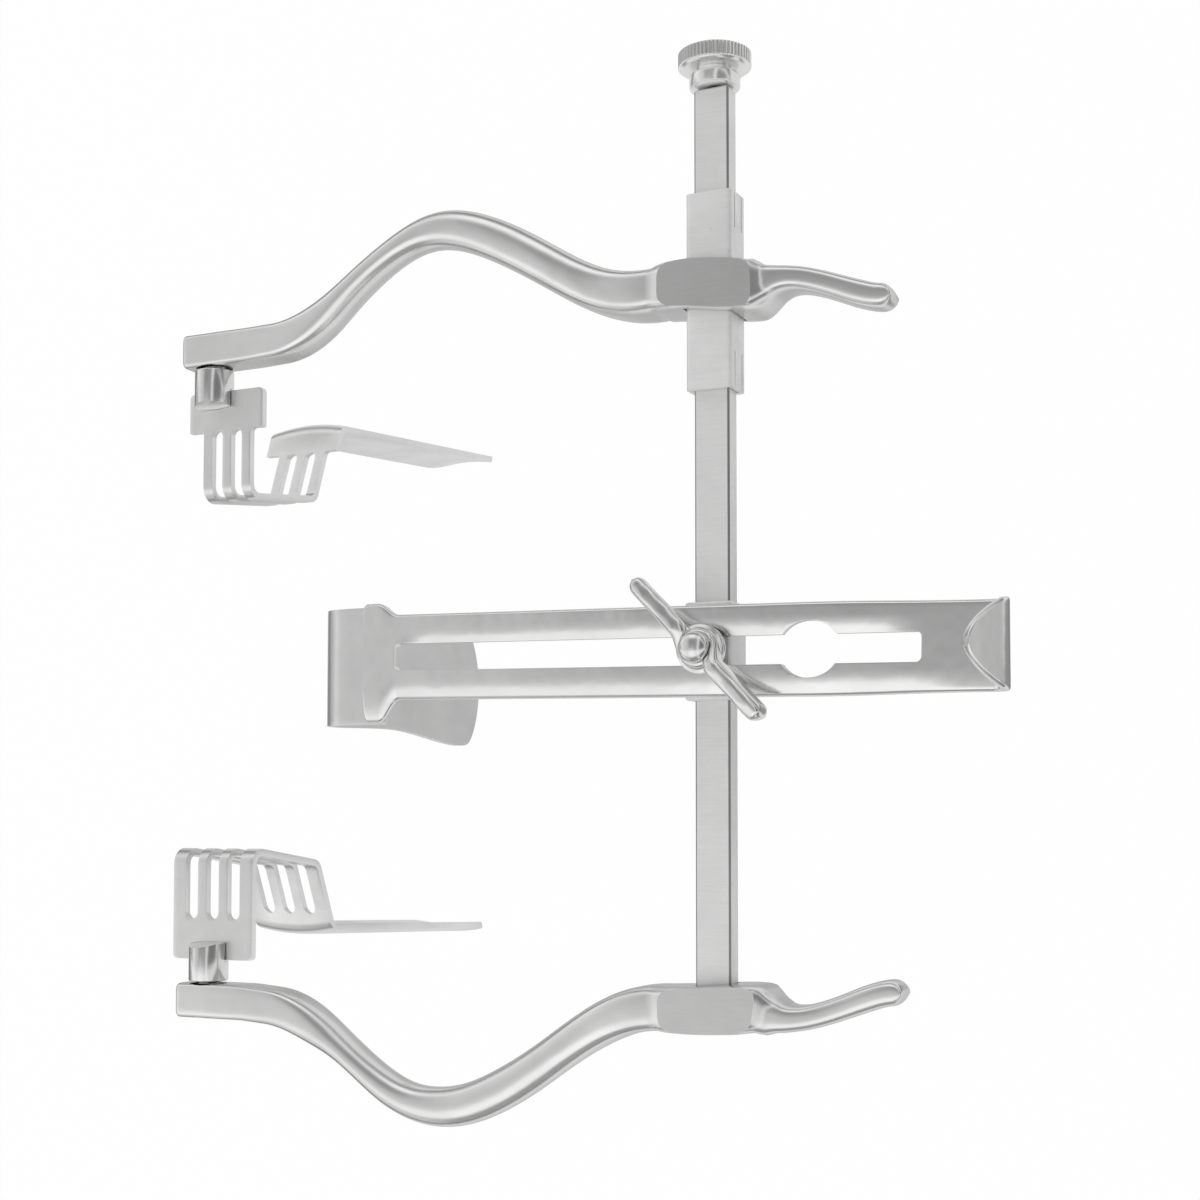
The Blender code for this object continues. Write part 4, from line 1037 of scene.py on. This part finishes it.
def centreShank(size):
    obj = toObject(shankShape(size), "slottedShank", "satinShank")
    low, high, width, corner = size["slot"]
    cutter = boxShape((low, -width / 2, -3), (high, width / 2, 6))
    roundEdges(cutter, corner, 5, 2)
    x, length, height = size["keyhole"]
    hole = rodShape(height, (0, 0, -3), (0, 0, 6), 72)
    bmesh.ops.scale(hole, vec=(length / height, 1, 1), verts=hole.verts)
    bmesh.ops.translate(hole, vec=(x * mm, 0, 0), verts=hole.verts)
    turn = Matrix.Translation((0, size["shift"] * mm, 0)) @ Matrix.Rotation(radians(size["turn"]), 4, "Z")
    for shape in (cutter, hole):
        bmesh.ops.transform(shape, matrix=turn, verts=shape.verts)
        cutWith(obj, shape)
    softenEdges(obj, size["slotEdge"], 4, 50.0)
    return obj


place(centreShank(shank), "centre_blade", "satin_steel", "centre_blade_shank")

tongue = {"z": -0.65, "y": -0.2, "thickness": 1.6, "under": -70.2, "nose": -86.2, "bend": 5.4, "noseWidth": 23.8,
          "waist": 22.8, "flare": 28.0, "depth": 65.7, "bow": 5.0, "edge": 0.4}


def centreTongue(size):
    y = size["y"]
    corners = [(size["under"], y, size["z"]), (size["nose"], y, size["z"]), (size["nose"], y, -size["depth"])]
    bends = filletedPath(corners, (size["bend"],), 14)
    path = sampled(bends, 1.6)
    foot = path[-1]
    path = [point for point in path if (point - foot).length > 10.0]
    path += [foot + Vector((0, 0, 9.5 * (1 - step / 20) ** 2)) for step in range(21)]
    lengths = arcLengths(path)
    total = lengths[-1]
    flank = size["flare"] / 2
    round_ = (flank * flank + size["bow"] ** 2) / (2 * size["bow"])
    straight = lengths[min(range(len(path)), key=lambda k: (path[k] - bends[-2]).length)]
    halves = []
    for length in lengths:
        share = max(0.0, (length - straight) / (total - straight))
        width = mix(size["noseWidth"], size["waist"], ease(share / 0.35))
        width = mix(width, size["flare"], ease((share - 0.35) / 0.55))
        # the foot is an arc whose corners with the flanks are round too
        above = total - length
        arc = max(round_ * round_ - max(round_ - above, 0.0) ** 2, 0.25) ** 0.5
        halves.append(((width / 2) ** -12 + arc ** -12) ** (-1 / 12))
    obj = toObject(sheetShape(path, (0, 1, 0), halves, [0.0] * len(path), 20), "centreTongue", "satinBlade")
    thicken(obj, size["thickness"])
    softenEdges(obj, size["edge"], 3, 50.0)
    return obj


place(centreTongue(tongue), "centre_blade", "satin_steel", "centre_blade_tongue")
print("centre blade made")

# pale floor, white background and soft light

studio = {"floorZ": -0.118, "floorSize": 6.0, "floorGlow": 0.98, "floorSeen": 0.78, "floorFar": 0.22,
          # painted pool of light in the floor's glow: metres over which it fades out, to the left along X and on both
          # sides along Y
          "poolX": (-0.38, -0.20), "poolY": (0.90, 0.35),
          # painted dimming of the floor's glow far to the right along X
          "duskX": (0.5, 1.8), "dusk": 0.42,
          # painted shadow of the blade in the floor's glow: fading out along Y and along X, and its depth
          "shadeY": (0.055, 0.020), "shadeX": (0.050, 0.0), "shade": 0.28,
          # a painted shadow, the same way, in the floor's glow beyond the finger lip
          "lipShadeY": (0.060, 0.030), "lipShadeX": (0.056, 0.078), "lipShade": 0.62,
          # degrees round the X axis from straight up (+ towards the knob), the tent's grey there, and how far
          # it gives way to the ends
          "tent": [(-90, 0.22, 1.0), (-78, 0.42, 1.0), (-67, 0.26, 1.0), (-56, 0.42, 0.8), (-47, 1.06, 0.3),
                   (-19, 1.06, 0.3), (-11, 0.68, 0.8), (-4, 0.50, 1.0), (10, 0.36, 1.0), (24, 0.28, 1.0),
                   (40, 0.32, 1.0), (50, 0.80, 0.6), (58, 1.06, 0.5), (71, 1.06, 0.5), (80, 0.38, 0.6),
                   (90, 0.22, 1.0)],
          # direction's X, grey, and how far that grey covers the bands
          "ends": [(-1.0, 0.40, 1.0), (-0.95, 0.46, 1.0), (-0.88, 0.85, 1.0), (-0.72, 0.70, 1.0), (-0.60, 0.62, 1.0),
                   (-0.50, 0.60, 0.95), (-0.43, 0.54, 0.8), (-0.39, 0.50, 0.1), (-0.36, 0.50, 0.0), (-0.10, 0.50, 0.0),
                   (0.05, 0.35, 0.5), (0.20, 0.28, 0.9), (0.32, 0.78, 0.9), (0.42, 0.82, 1.0), (0.54, 0.20, 1.0),
                   (0.90, 0.20, 1.0), (0.97, 0.46, 1.0), (1.0, 0.46, 1.0)]}
# place, size, watts
softLamps = [((-0.75, 0.60, 0.60), 0.80, 1.6), ((0.30, -0.95, 0.55), 0.80, 1.6)]
lampAim = Vector((-0.03, 0.0, 0.0))


def addFloor(size):
    bm = bmesh.new()
    bmesh.ops.create_grid(bm, x_segments=1, y_segments=1, size=size["floorSize"] / 2)
    bmesh.ops.translate(bm, vec=(0, 0, size["floorZ"]), verts=bm.verts)
    mesh = bpy.data.meshes.new("studioFloor")
    bm.to_mesh(mesh)
    bm.free()
    material = bpy.data.materials.new("paleFloor")
    material.use_nodes = True
    tree = material.node_tree
    shader = tree.nodes["Principled BSDF"]
    shader.inputs["Base Color"].default_value = (0.9, 0.9, 0.9, 1)
    shader.inputs["Roughness"].default_value = 0.9
    # white to the camera, and a little lower to metal, which shows it all round the object; to metal the glow is a
    # painted pool of light with painted shadows
    rays = addNode(tree, "ShaderNodeLightPath").outputs
    seen = joined(tree, "MAXIMUM", rays["Is Glossy Ray"], rays["Is Transmission Ray"])
    seen = joined(tree, "MAXIMUM", seen, rays["Is Camera Ray"])
    where = addNode(tree, "ShaderNodeTexCoord").outputs["Object"]
    parts = addNode(tree, "ShaderNodeSeparateXYZ", {0: where}).outputs
    away = joined(tree, "ABSOLUTE", parts["Y"])

    def patch(name):
        # a part of the floor, fading out along X and on both sides along Y
        return joined(tree, "MULTIPLY", fading(tree, parts["X"], *size[name + "X"]),
                      fading(tree, away, *size[name + "Y"]))

    lit = joined(tree, "MULTIPLY_ADD", patch("pool"), size["floorSeen"] - size["floorFar"], size["floorFar"])
    for name, where in (("shade", patch("shade")), ("lipShade", patch("lipShade")),
                        ("dusk", fading(tree, parts["X"], *size["duskX"]))):
        lit = joined(tree, "MULTIPLY", lit, joined(tree, "MULTIPLY_ADD", where, -size[name], 1.0))
    lit = joined(tree, "MAXIMUM", lit, rays["Is Camera Ray"])
    glow = addNode(tree, "ShaderNodeEmission", {"Strength": lit})
    blend = addNode(tree, "ShaderNodeMixShader", {0: joined(tree, "MULTIPLY", seen, size["floorGlow"]),
                                                  1: shader.outputs[0], 2: glow.outputs[0]})
    tree.links.new(blend.outputs[0], tree.nodes["Material Output"].inputs["Surface"])
    mesh.materials.append(material)
    newObject("studioFloor", mesh)


def greyRamp(tree, value, stops):
    ramp = addNode(tree, "ShaderNodeValToRGB", {0: value})
    ramp.color_ramp.interpolation = "EASE"
    elements = ramp.color_ramp.elements
    while len(elements) < len(stops):
        elements.new(0.5)
    for element, (position, grey, cover) in zip(elements, stops):
        element.position = position
        element.color = (grey, grey, grey, cover)
    return ramp.outputs


def lightWorld(size):
    # a tent in bands along X: pale towards the lower blade, greyer overhead and pale again beyond the knob
    world = bpy.data.worlds.new("studioTent")
    bpy.context.scene.world = world
    world.use_nodes = True
    tree = world.node_tree
    tree.nodes.clear()
    direction = addNode(tree, "ShaderNodeTexCoord").outputs["Generated"]
    parts = addNode(tree, "ShaderNodeSeparateXYZ", {0: direction}).outputs
    angle = joined(tree, "ARCTAN2", parts["Y"], parts["Z"])
    bands = greyRamp(tree, ranged(tree, angle, -pi / 2, pi / 2),
                     [((degrees + 90) / 180, grey, give) for degrees, grey, give in size["tent"]])
    ends = greyRamp(tree, ranged(tree, parts["X"], -1.0, 1.0),
                    [((x + 1) / 2, grey, cover) for x, grey, cover in size["ends"]])
    both = mixed(tree, joined(tree, "MULTIPLY", ends["Alpha"], bands["Alpha"]), bands["Color"], ends["Color"])
    tent = addNode(tree, "ShaderNodeBackground", {"Color": both})
    white = addNode(tree, "ShaderNodeBackground", {"Color": (1, 1, 1, 1)})
    rays = addNode(tree, "ShaderNodeLightPath").outputs
    blend = addNode(tree, "ShaderNodeMixShader", {0: rays["Is Camera Ray"], 1: tent.outputs[0], 2: white.outputs[0]})
    addNode(tree, "ShaderNodeOutputWorld", {"Surface": blend.outputs[0]})


def addLamps(lamps):
    for index, (spot, size, power) in enumerate(lamps):
        data = bpy.data.lights.new("softLamp%d" % index, "AREA")
        data.energy = power
        data.size = size
        lamp = newObject("softLamp%d" % index, data)
        lamp.location = spot
        lamp.rotation_euler = (lampAim - Vector(spot)).to_track_quat("-Z", "Y").to_euler()
        lamp.visible_glossy = False  # the steel shows the tent and no lamp


addFloor(studio)
lightWorld(studio)
addLamps(softLamps)
bpy.context.scene.view_settings.view_transform = "Standard"
print("studio ready")
